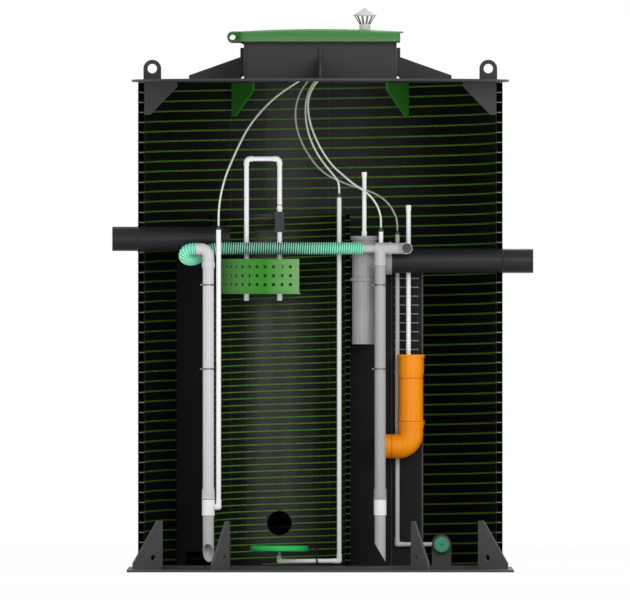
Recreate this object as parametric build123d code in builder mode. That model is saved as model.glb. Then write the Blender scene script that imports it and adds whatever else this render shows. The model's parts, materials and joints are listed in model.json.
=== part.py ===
"""Packaged sewage treatment plant: a round underground tank, shown cut open at the front.

Millimetres, +Z up, +X to the right of the open side, +Y to the back.
The origin is the centre of the base plate's underside.
"""
import math
import os

from build123d import *

os.makedirs("parts", exist_ok=True)

# Tank shell, of hollow profile wound round and round
tank_radius = 820.0
tank_wall = 28.0
tank_top = 2199.0
tank_cell_pitch = 45.0
tank_cell_height = 39.0
tank_segments = 5
# Inner cylinder, of a smaller hollow profile
inner_axis_x = -184.5
inner_radius = 318.0
inner_wall = 19.0
inner_top = 1605.0
inner_cell_pitch = 30.0
inner_cell_height = 24.0
inner_segments = 3
inner_port_radius = 55.0
inner_port_height = 211.0
cell_skin = 2.0
cell_corner = 5.0
cell_depth_angle = 4.0
# Plates
base_side = 1732.0
base_thickness = 10.0
floor_thickness = 12.0
top_plate_lip = 29.0
top_plate_thickness = 10.0
# Gussets round the foot
foot_gusset_angles = (30, 60, 120, 150, 210, 240, 300, 330)
foot_gusset_reach = 150.0
foot_gusset_height = 218.0
foot_gusset_head = 25.0
foot_gusset_toe = 27.0
foot_gusset_thickness = 12.0
foot_eye_radius = 13.0
foot_eye_out = 48.0
foot_eye_up = 52.0
# Lifting lugs and the plates under them
lug_inset = 64.0
lug_width = 80.0
lug_height = 90.0
lug_eye_radius = 21.0
lug_eye_height = 50.0
lug_thickness = 12.0
under_lug_reach = 149.0
under_lug_lip = 22.0
under_lug_drop = 148.0
under_lug_foot = 27.0
# Brackets under the top plate at the back
bracket_angles = (60, 120)
bracket_reach = 190.0
bracket_drop = 150.0
bracket_lip = 33.0
bracket_foot = 25.0
bracket_thickness = 12.0
# Neck over the manhole
neck_half = 343.0
neck_wall = 20.0
neck_height = 174.0
neck_corner = 24.0
rim_wall = 8.0
neck_gusset_reach = 248.0
neck_gusset_toe = 20.0
neck_gusset_knee = 102.0
neck_gusset_tongue = 17.0
neck_gusset_height = 144.0
neck_gusset_snipe = 15.0
neck_gusset_thickness = 8.0
# Lid
lid_half = 359.0
lid_corner = 32.0
lid_sheet = 8.0
lid_low = 2378.0
lid_high = 2420.0
lid_edge = 3.0
lid_dome = 17.0
lid_dome_reach = 445.0
lid_seat_gap = 0.3
# Hinge, whose axis is along Y
hinge_x = -394.7
hinge_z = 2400.0
hinge_eye_radius = 24.4
hinge_tube_radius = 17.0
hinge_tube_bore = 13.6
hinge_ear_y = 214.0
hinge_ear_thickness = 12.0
hinge_side_gap = 5.0
hinge_fillet = 20.0
fit_gap = 0.3
pin_play = 0.08
# Vent cap on the lid
vent_x = 200.7
vent_radius = 25.0
vent_wall = 3.0
vent_top = 2460.0
vent_slat_count = 8
vent_slat_width = 11.0
vent_slat_reach = 48.0
vent_slat_height = 37.0
vent_eaves_radius = 54.5
vent_eaves_slope = 1.5
vent_eaves_thickness = 2.0
vent_cone_height = 33.0
# Lock tab on the lid
tab_reach = 14.0
tab_width = 44.0
tab_thickness = 8.0
tab_rise = 2.0
# Large pipes
pipe_radius = 55.0
pipe_wall = 5.0
pipe_weld = 4.0
socket_radius = 62.5
inlet_height = 1493.0
inlet_start = -936.0
inlet_end = -408.0
outlet_height = 1394.0
outlet_end = 958.0
# Outlet tee with its rod
tee_x = 198.0
tee_bottom = 1019.0
tee_top = 1506.0
tee_rim = 18.0
tee_ring_low = 1303.0
tee_ring_height = 14.0
tee_branch_end = 322.0
tee_branch_socket = 23.0
tee_step = 4.0
tee_plug = 12.0
tee_rod_radius = 9.75
tee_rod_top = 1773.0
tee_rod_collar_radius = 11.8
tee_rod_collar = 20.0
tee_rod_cap_radius = 12.0
tee_rod_cap = 20.0
# Airlift risers
riser_radius = 25.0
riser_wall = 2.4
riser_socket_radius = 29.0
riser_foot = 40.0
riser_foot_cut = 84.0
left_foot_facing = 263.0
right_foot_facing = 180.0
left_riser_x = -503.0
left_riser_y = -220.0
right_riser_x = 269.0
right_riser_y = -106.0
coupling_low = 249.0
coupling_height = 72.0
coupling_radius = 28.5
riser_bell = 48.0
riser_lip = 8.0
riser_lip_radius = 30.0
clamp_low = 908.0
left_clamp_drop = 77.0
right_clamp_drop = 88.0
clamp_height = 7.0
clamp_radius = 27.0
clamp_ear = 9.0
clamp_ear_width = 6.0
left_elbow_low = 1363.0
left_elbow_height = 1447.0
left_elbow_mouth = -558.0
right_tee_drop = 76.0
right_tee_ring = 15.0
right_tee_socket = 29.0
right_tee_height = 1450.0
right_tee_left = 246.0
right_elbow_x = 389.0
right_elbow_mouth_y = -170.0
right_socket_x = 308.0
elbow_bend = 34.0
elbow_lap = 1.0
elbow_ring = 12.0
# Thin air pipes
air_pipe_radius = 11.0
thin_pipe_radius = 10.0
left_air_x = -457.0
left_air_top = 1533.0
right_air_x = 273.0
right_air_y = -66.0
right_air_top = 1525.0
air_elbow_height = 287.0
air_elbow_lap = 1.6
air_elbow_arm = 30.0
fitting_radius = 7.0
fitting_height = 18.0
fitting_nut_radius = 12.0
fitting_nut_height = 9.0
# Air hoses
air_hose_radius = 4.5
# Corrugated hose
hose_radius = 28.5
hose_end_x = 194.0
hose_tail_radius = 19.5
# Handle pipe and basket
handle_left_x = -332.0
handle_right_x = -183.0
handle_y = -30.0
handle_top = 1853.0
handle_bottom = 1215.0
handle_bend = 18.0
handle_cap_radius = 11.8
handle_cap_height = 29.0
handle_block_width = 42.0
handle_block_low = 1524.0
handle_block_high = 1615.0
handle_arm_width = 14.0
handle_arm_height = 60.0
handle_ball_radius = 12.0
handle_ball_height = 1629.0
basket_radius = 263.0
basket_sheet = 4.0
basket_cut_x = -95.0
basket_low = 1250.0
basket_high = 1402.0
basket_plate = 5.0
basket_lip = 6.0
basket_hole_radius = 7.5
basket_hole_rows = (1287.0, 1327.0, 1367.0)
basket_hole_pitch = 8.35
basket_hole_start = 189.2
basket_hole_count = 12
# Disc diffuser
disc_radius = 129.5
disc_low = 86.0
disc_thickness = 26.0
disc_edge = 7.0
disc_stem_radius = 6.0
feed_pipe_x = 85.0
feed_pipe_radius = 10.25
feed_pipe_top = 1679.0
feed_pipe_low = 43.0
feed_elbow_rise = 25.0
clip_x = -15.0
clip_width = 7.0
clip_top = 102.0
clip_thickness = 10.0
# Tube diffuser
tube_x = 546.0
tube_height = 117.0
tube_radius = 30.0
tube_cap_radius = 38.0
tube_cap_edge = 6.0
tube_front = -40.0
tube_length = 480.0
tube_cap = 26.0
tube_bracket_half = 43.5
tube_bracket_thickness = 8.0
tube_bracket_inset = 36.0
thin_pipe_x = 347.0
thin_pipe_y = 115.0
thin_pipe_top = 1513.0
thin_clamp_drop = 110.0
thin_clamp_side = 3.0
thin_clamp_thickness = 12.0
# Orange overflow pipe
orange_x = 408.0
orange_y = 48.0
orange_top = 972.0
orange_lip_radius = 61.5
orange_lip = 15.0
orange_socket_radius = 58.0
orange_socket = 86.0
orange_collar_low = 661.0
orange_elbow_socket = 34.0
orange_run_height = 559.0
orange_run_end = 252.0
orange_bend = 58.0
orange_rod_x = 397.0
orange_rod_y = 67.0
orange_rod_radius = 10.5
orange_rod_top = 1620.0
orange_rod_cap = 25.0
orange_rod_cap_radius = 12.0
# Inner plates
partition_thickness = 10.0
partition_top = 1436.0
partition_start = (-413.0, 222.0)
partition_end_x = -649.0
partition_lap = 0.0334
partition_gate = 82.0
partition_gate_share = 0.82
panel_y = 135.0
panel_thickness = 10.0
panel_right = 457.0
panel_top = 1370.0
side_wall_thickness = 6.0
comb_left = 331.0
comb_right = 443.0
comb_top = 1315.0
comb_pitch = 40.0
comb_count = 9
comb_thickness = 4.5
comb_depth = 9.0
# Air manifold in the neck
manifold_y = 160.0
manifold_z = 2340.0
manifold_radius = 25.0
manifold_left = -95.0
manifold_right = 90.0
manifold_feed_radius = 20.0
manifold_nipples = (-55.0, -20.0, 15.0, 50.0)
manifold_nipple_radius = 7.0
manifold_nipple_low = 2295.0

floor_top = base_thickness + floor_thickness
top_plate_radius = tank_radius + top_plate_lip
tank_bore = tank_radius - tank_wall
lug_centre = tank_radius - lug_inset
right_tee_low = right_tee_height - right_tee_drop
partition_end_y = math.sqrt((tank_bore + partition_lap) ** 2 - partition_end_x**2)
inner_bore = inner_radius - inner_wall
deck = tank_top + top_plate_thickness
pipe_bore = pipe_radius - pipe_wall
lid_underside = lid_high - lid_sheet
wall_seat = tank_bore - fit_gap
riser_bore = riser_radius - riser_wall
elbow_radius = riser_radius + elbow_lap
thin_clamp_height = comb_top - (comb_count - 1) * comb_pitch - thin_clamp_drop
# Height of the lower and of the upper clamp on each riser
clamp_rows = (
    (clamp_low, clamp_low),
    (left_elbow_low - left_clamp_drop, right_tee_low - right_clamp_drop),
)
# Place of each riser, and the way in which the slanted end of its foot opens
riser_places = (
    (left_riser_x, left_riser_y, left_foot_facing),
    (right_riser_x, right_riser_y, right_foot_facing),
)


def save(block, name):
    """Labels a finished sub-part and writes it to its own file."""
    block.part.label = name
    export_step(block.part, f"parts/{name}.step")


def radial_plane(angle, x=0.0):
    """The upright plane through a vertical axis, its own X pointing outward at an angle."""
    turn = math.radians(angle)
    return Plane(
        origin=(x, 0, 0),
        x_dir=(math.cos(turn), math.sin(turn), 0),
        z_dir=(math.sin(turn), -math.cos(turn), 0),
    )


def cell_heights(low, high, pitch, height, top_gap):
    """Middle heights of the hollow cells of a wound wall, from the top down."""
    heights = []
    middle = high - top_gap - pitch / 2
    while middle - height / 2 > low + cell_skin:
        heights.append(middle)
        middle -= pitch
    return heights


def wall_sector(axis_x, outer, wall, high, angles, cells, cell_height):
    """One sector of a wound wall, with its hollow cells open at a cut end."""
    start, end = angles
    with BuildPart() as sector:
        with BuildSketch(radial_plane(start, axis_x)):
            with Locations((outer - wall / 2, (floor_top + high) / 2)):
                Rectangle(wall, high - floor_top)
        revolve(axis=Axis((axis_x, 0, 0), (0, 0, 1)), revolution_arc=end - start)
        for face_angle, sweep in ((0, cell_depth_angle), (180, -cell_depth_angle)):
            if face_angle in angles:
                with BuildSketch(radial_plane(face_angle, axis_x)) as cut_cells:
                    with Locations([(outer - wall / 2, z) for z in cells]):
                        Rectangle(wall - 2 * cell_skin, cell_height)
                    chamfer(cut_cells.vertices(), cell_corner)
                revolve(
                    axis=Axis((axis_x, 0, 0), (0, 0, 1)),
                    revolution_arc=sweep,
                    mode=Mode.SUBTRACT,
                )
    return sector


def cut_pipe_hole(sector, height, side):
    """Cuts the hole where a large pipe goes through a wall at one side."""
    with BuildPart() as drill:
        with BuildSketch(Plane.YZ):
            with Locations((0, height)):
                Circle(pipe_radius + fit_gap)
        extrude(amount=side * tank_radius)
    with sector:
        add(drill.part, mode=Mode.SUBTRACT)


def tank_walls():
    """The back half of the tank's wall, in sectors that meet face to face."""
    step = 180 / tank_segments
    cells = cell_heights(floor_top, tank_top, tank_cell_pitch, tank_cell_height, cell_skin)
    for index in range(tank_segments):
        angles = (index * step, (index + 1) * step)
        sector = wall_sector(
            0, tank_radius, tank_wall, tank_top, angles, cells, tank_cell_height
        )
        if index == 0:
            cut_pipe_hole(sector, outlet_height, 1)
        if index == tank_segments - 1:
            cut_pipe_hole(sector, inlet_height, -1)
        save(sector, f"tank_wall_{index + 1}")


def inner_walls():
    """The back half of the inner cylinder, with a port low in its middle sector."""
    step = 180 / inner_segments
    cells = cell_heights(floor_top, inner_top, inner_cell_pitch, inner_cell_height, cell_skin)
    for index in range(inner_segments):
        angles = (index * step, (index + 1) * step)
        sector = wall_sector(
            inner_axis_x, inner_radius, inner_wall, inner_top, angles, cells, inner_cell_height
        )
        if index == inner_segments - 1:
            cut_pipe_hole(sector, inlet_height, -1)
        if index == inner_segments // 2:
            with BuildPart() as drill:
                with BuildSketch(Plane.XZ):
                    with Locations((inner_axis_x, inner_port_height)):
                        Circle(inner_port_radius)
                extrude(amount=-inner_radius - inner_wall)
            with sector:
                add(drill.part, mode=Mode.SUBTRACT)
        save(sector, f"inner_wall_{index + 1}")


def base():
    """The square base plate and the round tank floor on it."""
    with BuildPart() as plate:
        with BuildSketch():
            Rectangle(base_side, base_side)
        extrude(amount=base_thickness)
    save(plate, "base_plate")
    with BuildPart() as floor:
        with BuildSketch(Plane.XY.offset(base_thickness)):
            Circle(tank_radius)
        extrude(amount=floor_thickness)
    save(floor, "tank_floor")


def foot_gussets():
    """Slanted plates round the foot, each with a lifting eye."""
    outer = tank_radius + foot_gusset_reach
    low = base_thickness
    with BuildPart() as gussets:
        for angle in foot_gusset_angles:
            with BuildSketch(radial_plane(angle)):
                with BuildLine():
                    Polyline(
                        (tank_radius, low),
                        (outer, low),
                        (outer, low + foot_gusset_toe),
                        (tank_radius + foot_gusset_head, low + foot_gusset_height),
                        (tank_radius, low + foot_gusset_height),
                        close=True,
                    )
                make_face()
                with Locations((tank_radius + foot_eye_out, low + foot_eye_up)):
                    Circle(foot_eye_radius, mode=Mode.SUBTRACT)
            extrude(amount=foot_gusset_thickness / 2, both=True)
    save(gussets, "foot_gussets")


def top_plate():
    """The round top plate with its square manhole."""
    opening = 2 * (neck_half - neck_wall)
    with BuildPart() as plate:
        with BuildSketch(Plane.XY.offset(tank_top)):
            Circle(top_plate_radius)
            RectangleRounded(opening, opening, neck_corner, mode=Mode.SUBTRACT)
        extrude(amount=top_plate_thickness)
    save(plate, "top_plate")


def lifting_lugs():
    """Two lifting lugs on the top plate, and the gusset under each of them."""
    with BuildPart() as lugs:
        for side in (-1, 1):
            with BuildSketch(Plane.XZ):
                with Locations((side * lug_centre, deck + (lug_height - lug_width / 2) / 2)):
                    Rectangle(lug_width, lug_height - lug_width / 2)
                with Locations((side * lug_centre, deck + lug_height - lug_width / 2)):
                    Circle(lug_width / 2)
                with Locations((side * lug_centre, deck + lug_eye_height)):
                    Circle(lug_eye_radius, mode=Mode.SUBTRACT)
            extrude(amount=lug_thickness / 2, both=True)
    save(lugs, "lifting_lugs")
    with BuildPart() as gussets:
        for side in (-1, 1):
            with BuildSketch(Plane.XZ):
                with BuildLine():
                    Polyline(
                        (side * wall_seat, tank_top),
                        (side * (tank_bore - under_lug_reach), tank_top),
                        (side * (tank_bore - under_lug_reach), tank_top - under_lug_lip),
                        (side * (tank_bore - under_lug_foot), tank_top - under_lug_drop),
                        (side * wall_seat, tank_top - under_lug_drop),
                        close=True,
                    )
                make_face()
            extrude(amount=lug_thickness / 2, both=True)
    save(gussets, "lug_gussets")


def top_brackets():
    """Green brackets between the wall and the top plate at the back."""
    with BuildPart() as brackets:
        for angle in bracket_angles:
            with BuildSketch(radial_plane(angle)):
                with BuildLine():
                    Polyline(
                        (wall_seat, tank_top),
                        (tank_bore - bracket_reach, tank_top),
                        (tank_bore - bracket_reach, tank_top - bracket_lip),
                        (tank_bore - bracket_foot, tank_top - bracket_drop),
                        (wall_seat, tank_top - bracket_drop),
                        close=True,
                    )
                make_face()
            extrude(amount=bracket_thickness / 2, both=True)
    save(brackets, "top_brackets")


def neck():
    """The square neck with its rim, and the gussets at the middle of its sides."""
    rim_top = lid_underside - lid_seat_gap
    with BuildPart() as frame:
        with BuildSketch(Plane.XY.offset(deck)):
            RectangleRounded(2 * neck_half, 2 * neck_half, neck_corner)
        extrude(amount=neck_height)
        with BuildSketch(Plane.XY.offset(deck)):
            rim = neck_half - neck_wall + rim_wall
            RectangleRounded(2 * rim, 2 * rim, neck_corner)
        extrude(amount=rim_top - deck)
        with BuildSketch(Plane.XY.offset(deck)):
            inside = neck_half - neck_wall
            RectangleRounded(2 * inside, 2 * inside, neck_corner)
        extrude(amount=rim_top - deck, mode=Mode.SUBTRACT)
    save(frame, "neck")
    with BuildPart() as gussets:
        for angle in (0, 90, 180, 270):
            with BuildSketch(radial_plane(angle)):
                with BuildLine():
                    Polyline(
                        (neck_half, deck),
                        (neck_half + neck_gusset_reach, deck),
                        (neck_half + neck_gusset_reach, deck + neck_gusset_toe),
                        (neck_half + neck_gusset_tongue, deck + neck_gusset_knee),
                        (neck_half + neck_gusset_tongue, deck + neck_gusset_height),
                        (neck_half, deck + neck_gusset_height),
                        close=True,
                    )
                make_face()
                with Locations((neck_half, deck)):
                    Circle(neck_gusset_snipe, mode=Mode.SUBTRACT)
            extrude(amount=neck_gusset_thickness / 2, both=True)
    save(gussets, "neck_gussets")


def hinge():
    """Two lugs on the neck and the hollow pin that the lid's ears turn on."""
    lug_y = hinge_ear_y - hinge_ear_thickness - hinge_side_gap
    arm_low = hinge_z - hinge_eye_radius
    arm_high = hinge_z + hinge_tube_radius / 2
    with BuildPart() as lugs:
        for side in (-1, 1):
            with BuildSketch(Plane.XZ.offset(side * lug_y)):
                with BuildLine():
                    Polyline(
                        (hinge_x, arm_low),
                        (-neck_half - hinge_fillet, arm_low),
                        (-neck_half, arm_low - hinge_fillet),
                        (-neck_half, neck_height + deck),
                        (-neck_half - fit_gap, arm_high),
                        (hinge_x, arm_high),
                        close=True,
                    )
                make_face()
                with Locations((-neck_half - hinge_fillet, arm_low - hinge_fillet)):
                    Circle(hinge_fillet, mode=Mode.SUBTRACT)
                with Locations((hinge_x, hinge_z)):
                    Circle(hinge_eye_radius)
                    Circle(hinge_tube_radius + pin_play, mode=Mode.SUBTRACT)
            extrude(amount=hinge_ear_thickness / 2, both=True)
    save(lugs, "hinge_lugs")
    with BuildPart() as pin:
        with BuildSketch(Plane.XZ.offset(-hinge_ear_y - hinge_ear_thickness)):
            with Locations((hinge_x, hinge_z)):
                Circle(hinge_tube_radius)
                Circle(hinge_tube_bore, mode=Mode.SUBTRACT)
        extrude(amount=2 * (hinge_ear_y + hinge_ear_thickness))
    save(pin, "hinge_pin")


def lid():
    """The square lid: skirt, slightly domed top, hinge ears and the vent's hole."""
    lug_y = hinge_ear_y - hinge_ear_thickness - hinge_side_gap
    dome_radius = (lid_dome_reach**2 + lid_dome**2) / (2 * lid_dome)
    with BuildPart() as dome:
        with BuildSketch(Plane.XY.offset(lid_underside)):
            RectangleRounded(2 * lid_half, 2 * lid_half, lid_corner)
        extrude(amount=lid_high + lid_dome - lid_underside)
        with Locations((0, 0, lid_high + lid_dome - dome_radius)):
            Sphere(dome_radius, mode=Mode.INTERSECT)
    with BuildPart() as cover:
        with BuildSketch(Plane.XY.offset(lid_low)):
            RectangleRounded(2 * lid_half, 2 * lid_half, lid_corner)
        extrude(amount=lid_high - lid_low)
        fillet(cover.faces().sort_by(Axis.Z)[-1].edges(), lid_edge)
        with BuildSketch(Plane.XY.offset(lid_low)):
            inside = lid_half - lid_sheet
            RectangleRounded(2 * inside, 2 * inside, lid_corner - lid_sheet)
        extrude(amount=lid_underside - lid_low, mode=Mode.SUBTRACT)
        add(dome.part)
        for side in (-1, 1):
            with BuildSketch(Plane.XZ.offset(side * hinge_ear_y)):
                with Locations(((hinge_x - lid_half) / 2, hinge_z)):
                    Rectangle(-lid_half - hinge_x, 2 * hinge_eye_radius)
                with Locations((hinge_x, hinge_z)):
                    Circle(hinge_eye_radius)
                    Circle(hinge_tube_radius + pin_play, mode=Mode.SUBTRACT)
            extrude(amount=hinge_ear_thickness / 2, both=True)
            with Locations((-lid_half + lid_sheet / 2, -side * lug_y, lid_low)):
                Box(
                    lid_sheet,
                    hinge_ear_thickness + 2 * hinge_side_gap,
                    2 * (lid_underside - lid_low),
                    mode=Mode.SUBTRACT,
                )
        with Locations((vent_x, 0, lid_high)):
            Hole(vent_radius + fit_gap, depth=2 * (lid_dome + lid_sheet))
    save(cover, "lid")
    with BuildPart() as tab:
        with Locations((lid_half + tab_reach / 2, 0, lid_high + tab_rise)):
            Box(tab_reach, tab_width, tab_thickness)
    save(tab, "lock_tab")


def vent_cap():
    """The vent on the lid: tube, slanted slats and the cone over them."""
    with BuildPart() as tube:
        with BuildSketch(Plane.XY.offset(lid_underside)):
            with Locations((vent_x, 0)):
                Circle(vent_radius)
                Circle(vent_radius - vent_wall, mode=Mode.SUBTRACT)
        extrude(amount=vent_top - lid_underside)
    save(tube, "vent_tube")
    slat_top = vent_top + vent_slat_height
    with BuildPart() as head:
        for index in range(vent_slat_count):
            with BuildSketch(radial_plane((index + 0.5) * 360 / vent_slat_count, vent_x)):
                with BuildLine():
                    Polyline(
                        (vent_radius - vent_wall, vent_top),
                        (vent_radius, vent_top),
                        (vent_slat_reach, slat_top),
                        (vent_slat_reach - vent_wall, slat_top),
                        close=True,
                    )
                make_face()
            extrude(amount=vent_slat_width / 2, both=True)
        with BuildSketch(radial_plane(0, vent_x)):
            with BuildLine():
                Polyline(
                    (0, slat_top),
                    (vent_eaves_radius - vent_eaves_slope, slat_top),
                    (vent_eaves_radius, slat_top + vent_eaves_thickness),
                    (0, slat_top + vent_eaves_thickness + vent_cone_height),
                    close=True,
                )
            make_face()
        revolve(axis=Axis((vent_x, 0, 0), (0, 0, 1)))
    save(head, "vent_head")


def level_tube(x_start, x_end, height, side):
    """A large pipe along X, with the weld bead that meets the wall's outside."""
    weld_x = side * (tank_radius + fit_gap)
    with BuildPart() as tube:
        with BuildSketch(Plane.YZ.offset(x_start)):
            with Locations((0, height)):
                Circle(pipe_radius)
                Circle(pipe_bore, mode=Mode.SUBTRACT)
        extrude(amount=x_end - x_start)
        with BuildSketch(Plane.XZ):
            with BuildLine():
                Polyline(
                    (weld_x, height - pipe_radius + pipe_wall / 2),
                    (weld_x + side * pipe_weld, height - pipe_radius),
                    (weld_x, height - pipe_radius - pipe_weld),
                    close=True,
                )
            make_face()
        revolve(axis=Axis((0, 0, height), (1, 0, 0)))
    return tube


def inlet_and_outlet():
    """The inlet pipe into the basket and the outlet pipe from the tee."""
    save(level_tube(inlet_start, inlet_end, inlet_height, -1), "inlet_pipe")
    outlet_start = tee_branch_end - tee_branch_socket + fit_gap
    save(level_tube(outlet_start, outlet_end, outlet_height, 1), "outlet_pipe")


def outlet_tee():
    """The grey dip tee on the outlet pipe, plugged at its top, with its white rod."""
    with BuildPart() as tee:
        with BuildSketch(Plane.XY.offset(tee_bottom)):
            with Locations((tee_x, 0)):
                Circle(pipe_radius)
        extrude(amount=tee_top - tee_bottom)
        for low, height in ((tee_top - tee_rim, tee_rim), (tee_ring_low, tee_ring_height)):
            with BuildSketch(Plane.XY.offset(low)):
                with Locations((tee_x, 0)):
                    Circle(socket_radius)
            extrude(amount=height)
        with BuildSketch(Plane.YZ.offset(tee_x)):
            with Locations((0, outlet_height)):
                Circle(pipe_radius)
        extrude(amount=tee_branch_end - tee_branch_socket - tee_x)
        with BuildSketch(Plane.YZ.offset(tee_branch_end - tee_branch_socket - tee_step)):
            with Locations((0, outlet_height)):
                Circle(socket_radius)
        extrude(amount=tee_branch_socket + tee_step)
        with BuildSketch(Plane.XY.offset(tee_bottom)):
            with Locations((tee_x, 0)):
                Circle(pipe_bore)
        extrude(amount=tee_top - tee_plug - tee_bottom, mode=Mode.SUBTRACT)
        with BuildSketch(Plane.YZ.offset(tee_x)):
            with Locations((0, outlet_height)):
                Circle(pipe_bore)
        extrude(amount=tee_branch_end - tee_x, mode=Mode.SUBTRACT)
        with BuildSketch(Plane.YZ.offset(tee_branch_end - tee_branch_socket)):
            with Locations((0, outlet_height)):
                Circle(pipe_radius + fit_gap)
        extrude(amount=tee_branch_socket, mode=Mode.SUBTRACT)
    save(tee, "outlet_tee")
    with BuildPart() as rod:
        for radius, low, high in (
            (tee_rod_collar_radius, tee_top, tee_top + tee_rod_collar),
            (tee_rod_radius, tee_top + tee_rod_collar, tee_rod_top),
            (tee_rod_cap_radius, tee_rod_top, tee_rod_top + tee_rod_cap),
        ):
            with BuildSketch(Plane.XY.offset(low)):
                with Locations((tee_x, 0)):
                    Circle(radius)
            extrude(amount=high - low)
    save(rod, "tee_rod")


def riser_feet():
    """The lowest length of each riser, its open end cut on a slant."""
    slope = math.atan2(riser_foot_cut, 2 * riser_radius)
    with BuildPart() as feet:
        for x, y, facing in riser_places:
            turn = math.radians(facing)
            out = Vector(math.cos(turn), math.sin(turn), 0)
            slant = Plane(
                origin=(x, y, riser_foot + riser_foot_cut / 2),
                x_dir=(-out.Y, out.X, 0),
                z_dir=(out.X * math.sin(slope), out.Y * math.sin(slope), -math.cos(slope)),
            )
            with BuildSketch(Plane.XY.offset(riser_foot)):
                with Locations((x, y)):
                    Circle(riser_radius)
                    Circle(riser_bore, mode=Mode.SUBTRACT)
            extrude(amount=coupling_low - riser_foot)
            with BuildSketch(slant):
                Rectangle(2 * riser_foot_cut, 2 * riser_foot_cut)
            extrude(amount=riser_foot_cut, mode=Mode.SUBTRACT)
    save(feet, "riser_feet")


def couplings():
    """The white coupling between each riser's foot and its long tube."""
    with BuildPart() as sleeves:
        for x, y, _ in riser_places:
            with BuildSketch(Plane.XY.offset(coupling_low)):
                with Locations((x, y)):
                    Circle(coupling_radius)
                    Circle(riser_bore, mode=Mode.SUBTRACT)
            extrude(amount=coupling_height)
    save(sleeves, "riser_couplings")


def riser_tube(x, y, top, name):
    """The long upright tube of a riser, with a lipped bell on its coupling."""
    low = coupling_low + coupling_height
    with BuildPart() as tube:
        for radius, high in (
            (riser_radius, top),
            (coupling_radius, low + riser_bell),
            (riser_lip_radius, low + riser_lip),
        ):
            with BuildSketch(Plane.XY.offset(low)):
                with Locations((x, y)):
                    Circle(radius)
            extrude(amount=high - low)
        with BuildSketch(Plane.XY.offset(low)):
            with Locations((x, y)):
                Circle(riser_bore)
        extrude(amount=top - low, mode=Mode.SUBTRACT)
    save(tube, name)


def left_head():
    """The elbow on the left riser, which turns to the left into the hose."""
    bend_low = left_elbow_height - elbow_bend
    with BuildPart() as elbow:
        with BuildLine() as route:
            FilletPolyline(
                (left_riser_x, left_riser_y, left_elbow_low),
                (left_riser_x, left_riser_y, left_elbow_height),
                (left_elbow_mouth, left_riser_y, left_elbow_height),
                radius=elbow_bend,
            )
        for radius, mode in ((elbow_radius, Mode.ADD), (riser_bore, Mode.SUBTRACT)):
            with BuildSketch(Plane.XY.offset(left_elbow_low)):
                with Locations((left_riser_x, left_riser_y)):
                    Circle(radius)
            sweep(path=route.line, mode=mode)
        with BuildSketch(Plane.XY.offset(left_elbow_low)):
            with Locations((left_riser_x, left_riser_y)):
                Circle(riser_socket_radius)
                Circle(riser_radius + fit_gap, mode=Mode.SUBTRACT)
        extrude(amount=(bend_low - left_elbow_low) / 2)
        with BuildSketch(Plane.XY.offset(left_elbow_low)):
            with Locations((left_riser_x, left_riser_y)):
                Circle(riser_radius + fit_gap)
        extrude(amount=(bend_low - left_elbow_low) / 2, mode=Mode.SUBTRACT)
    save(elbow, "left_elbow")


def right_head():
    """The tee on the right riser, and the elbow that opens towards the front."""
    with BuildPart() as tee:
        with BuildSketch(Plane.XY.offset(right_tee_low)):
            with Locations((right_riser_x, right_riser_y)):
                Circle(elbow_radius)
        extrude(amount=right_tee_height - right_tee_low)
        with BuildSketch(Plane.XY.offset(right_tee_low)):
            with Locations((right_riser_x, right_riser_y)):
                Circle(riser_socket_radius)
        extrude(amount=right_tee_ring)
        with BuildSketch(Plane.YZ.offset(right_tee_left)):
            with Locations((right_riser_y, right_tee_height)):
                Circle(elbow_radius)
        extrude(amount=right_socket_x - right_tee_left)
        with BuildSketch(Plane.YZ.offset(hose_end_x)):
            with Locations((right_riser_y, right_tee_height)):
                Circle(hose_tail_radius)
        extrude(amount=right_tee_left - hose_end_x)
        with BuildSketch(Plane.XY.offset(right_tee_low)):
            with Locations((right_riser_x, right_riser_y)):
                Circle(riser_radius + fit_gap)
        extrude(amount=right_tee_socket, mode=Mode.SUBTRACT)
        with BuildSketch(Plane.XY.offset(right_tee_low)):
            with Locations((right_riser_x, right_riser_y)):
                Circle(riser_bore)
        extrude(amount=right_tee_height - right_tee_low, mode=Mode.SUBTRACT)
        with BuildSketch(Plane.YZ.offset(hose_end_x)):
            with Locations((right_riser_y, right_tee_height)):
                Circle(hose_tail_radius - riser_wall)
        extrude(amount=right_socket_x - hose_end_x, mode=Mode.SUBTRACT)
        with BuildSketch(Plane.YZ.offset(right_tee_left + riser_wall)):
            with Locations((right_riser_y, right_tee_height)):
                Circle(riser_bore)
        extrude(amount=right_socket_x - right_tee_left, mode=Mode.SUBTRACT)
    save(tee, "right_tee")
    with BuildPart() as elbow:
        with BuildLine() as route:
            FilletPolyline(
                (right_socket_x, right_riser_y, right_tee_height),
                (right_elbow_x, right_riser_y, right_tee_height),
                (right_elbow_x, right_elbow_mouth_y, right_tee_height),
                radius=elbow_bend,
            )
        for radius, mode in ((riser_radius, Mode.ADD), (riser_bore, Mode.SUBTRACT)):
            with BuildSketch(Plane.YZ.offset(right_socket_x)):
                with Locations((right_riser_y, right_tee_height)):
                    Circle(radius)
            sweep(path=route.line, mode=mode)
        with BuildSketch(Plane.YZ.offset(right_socket_x)):
            with Locations((right_riser_y, right_tee_height)):
                Circle(riser_socket_radius)
                Circle(riser_radius, mode=Mode.SUBTRACT)
        extrude(amount=elbow_ring)
    save(elbow, "right_elbow")


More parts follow.
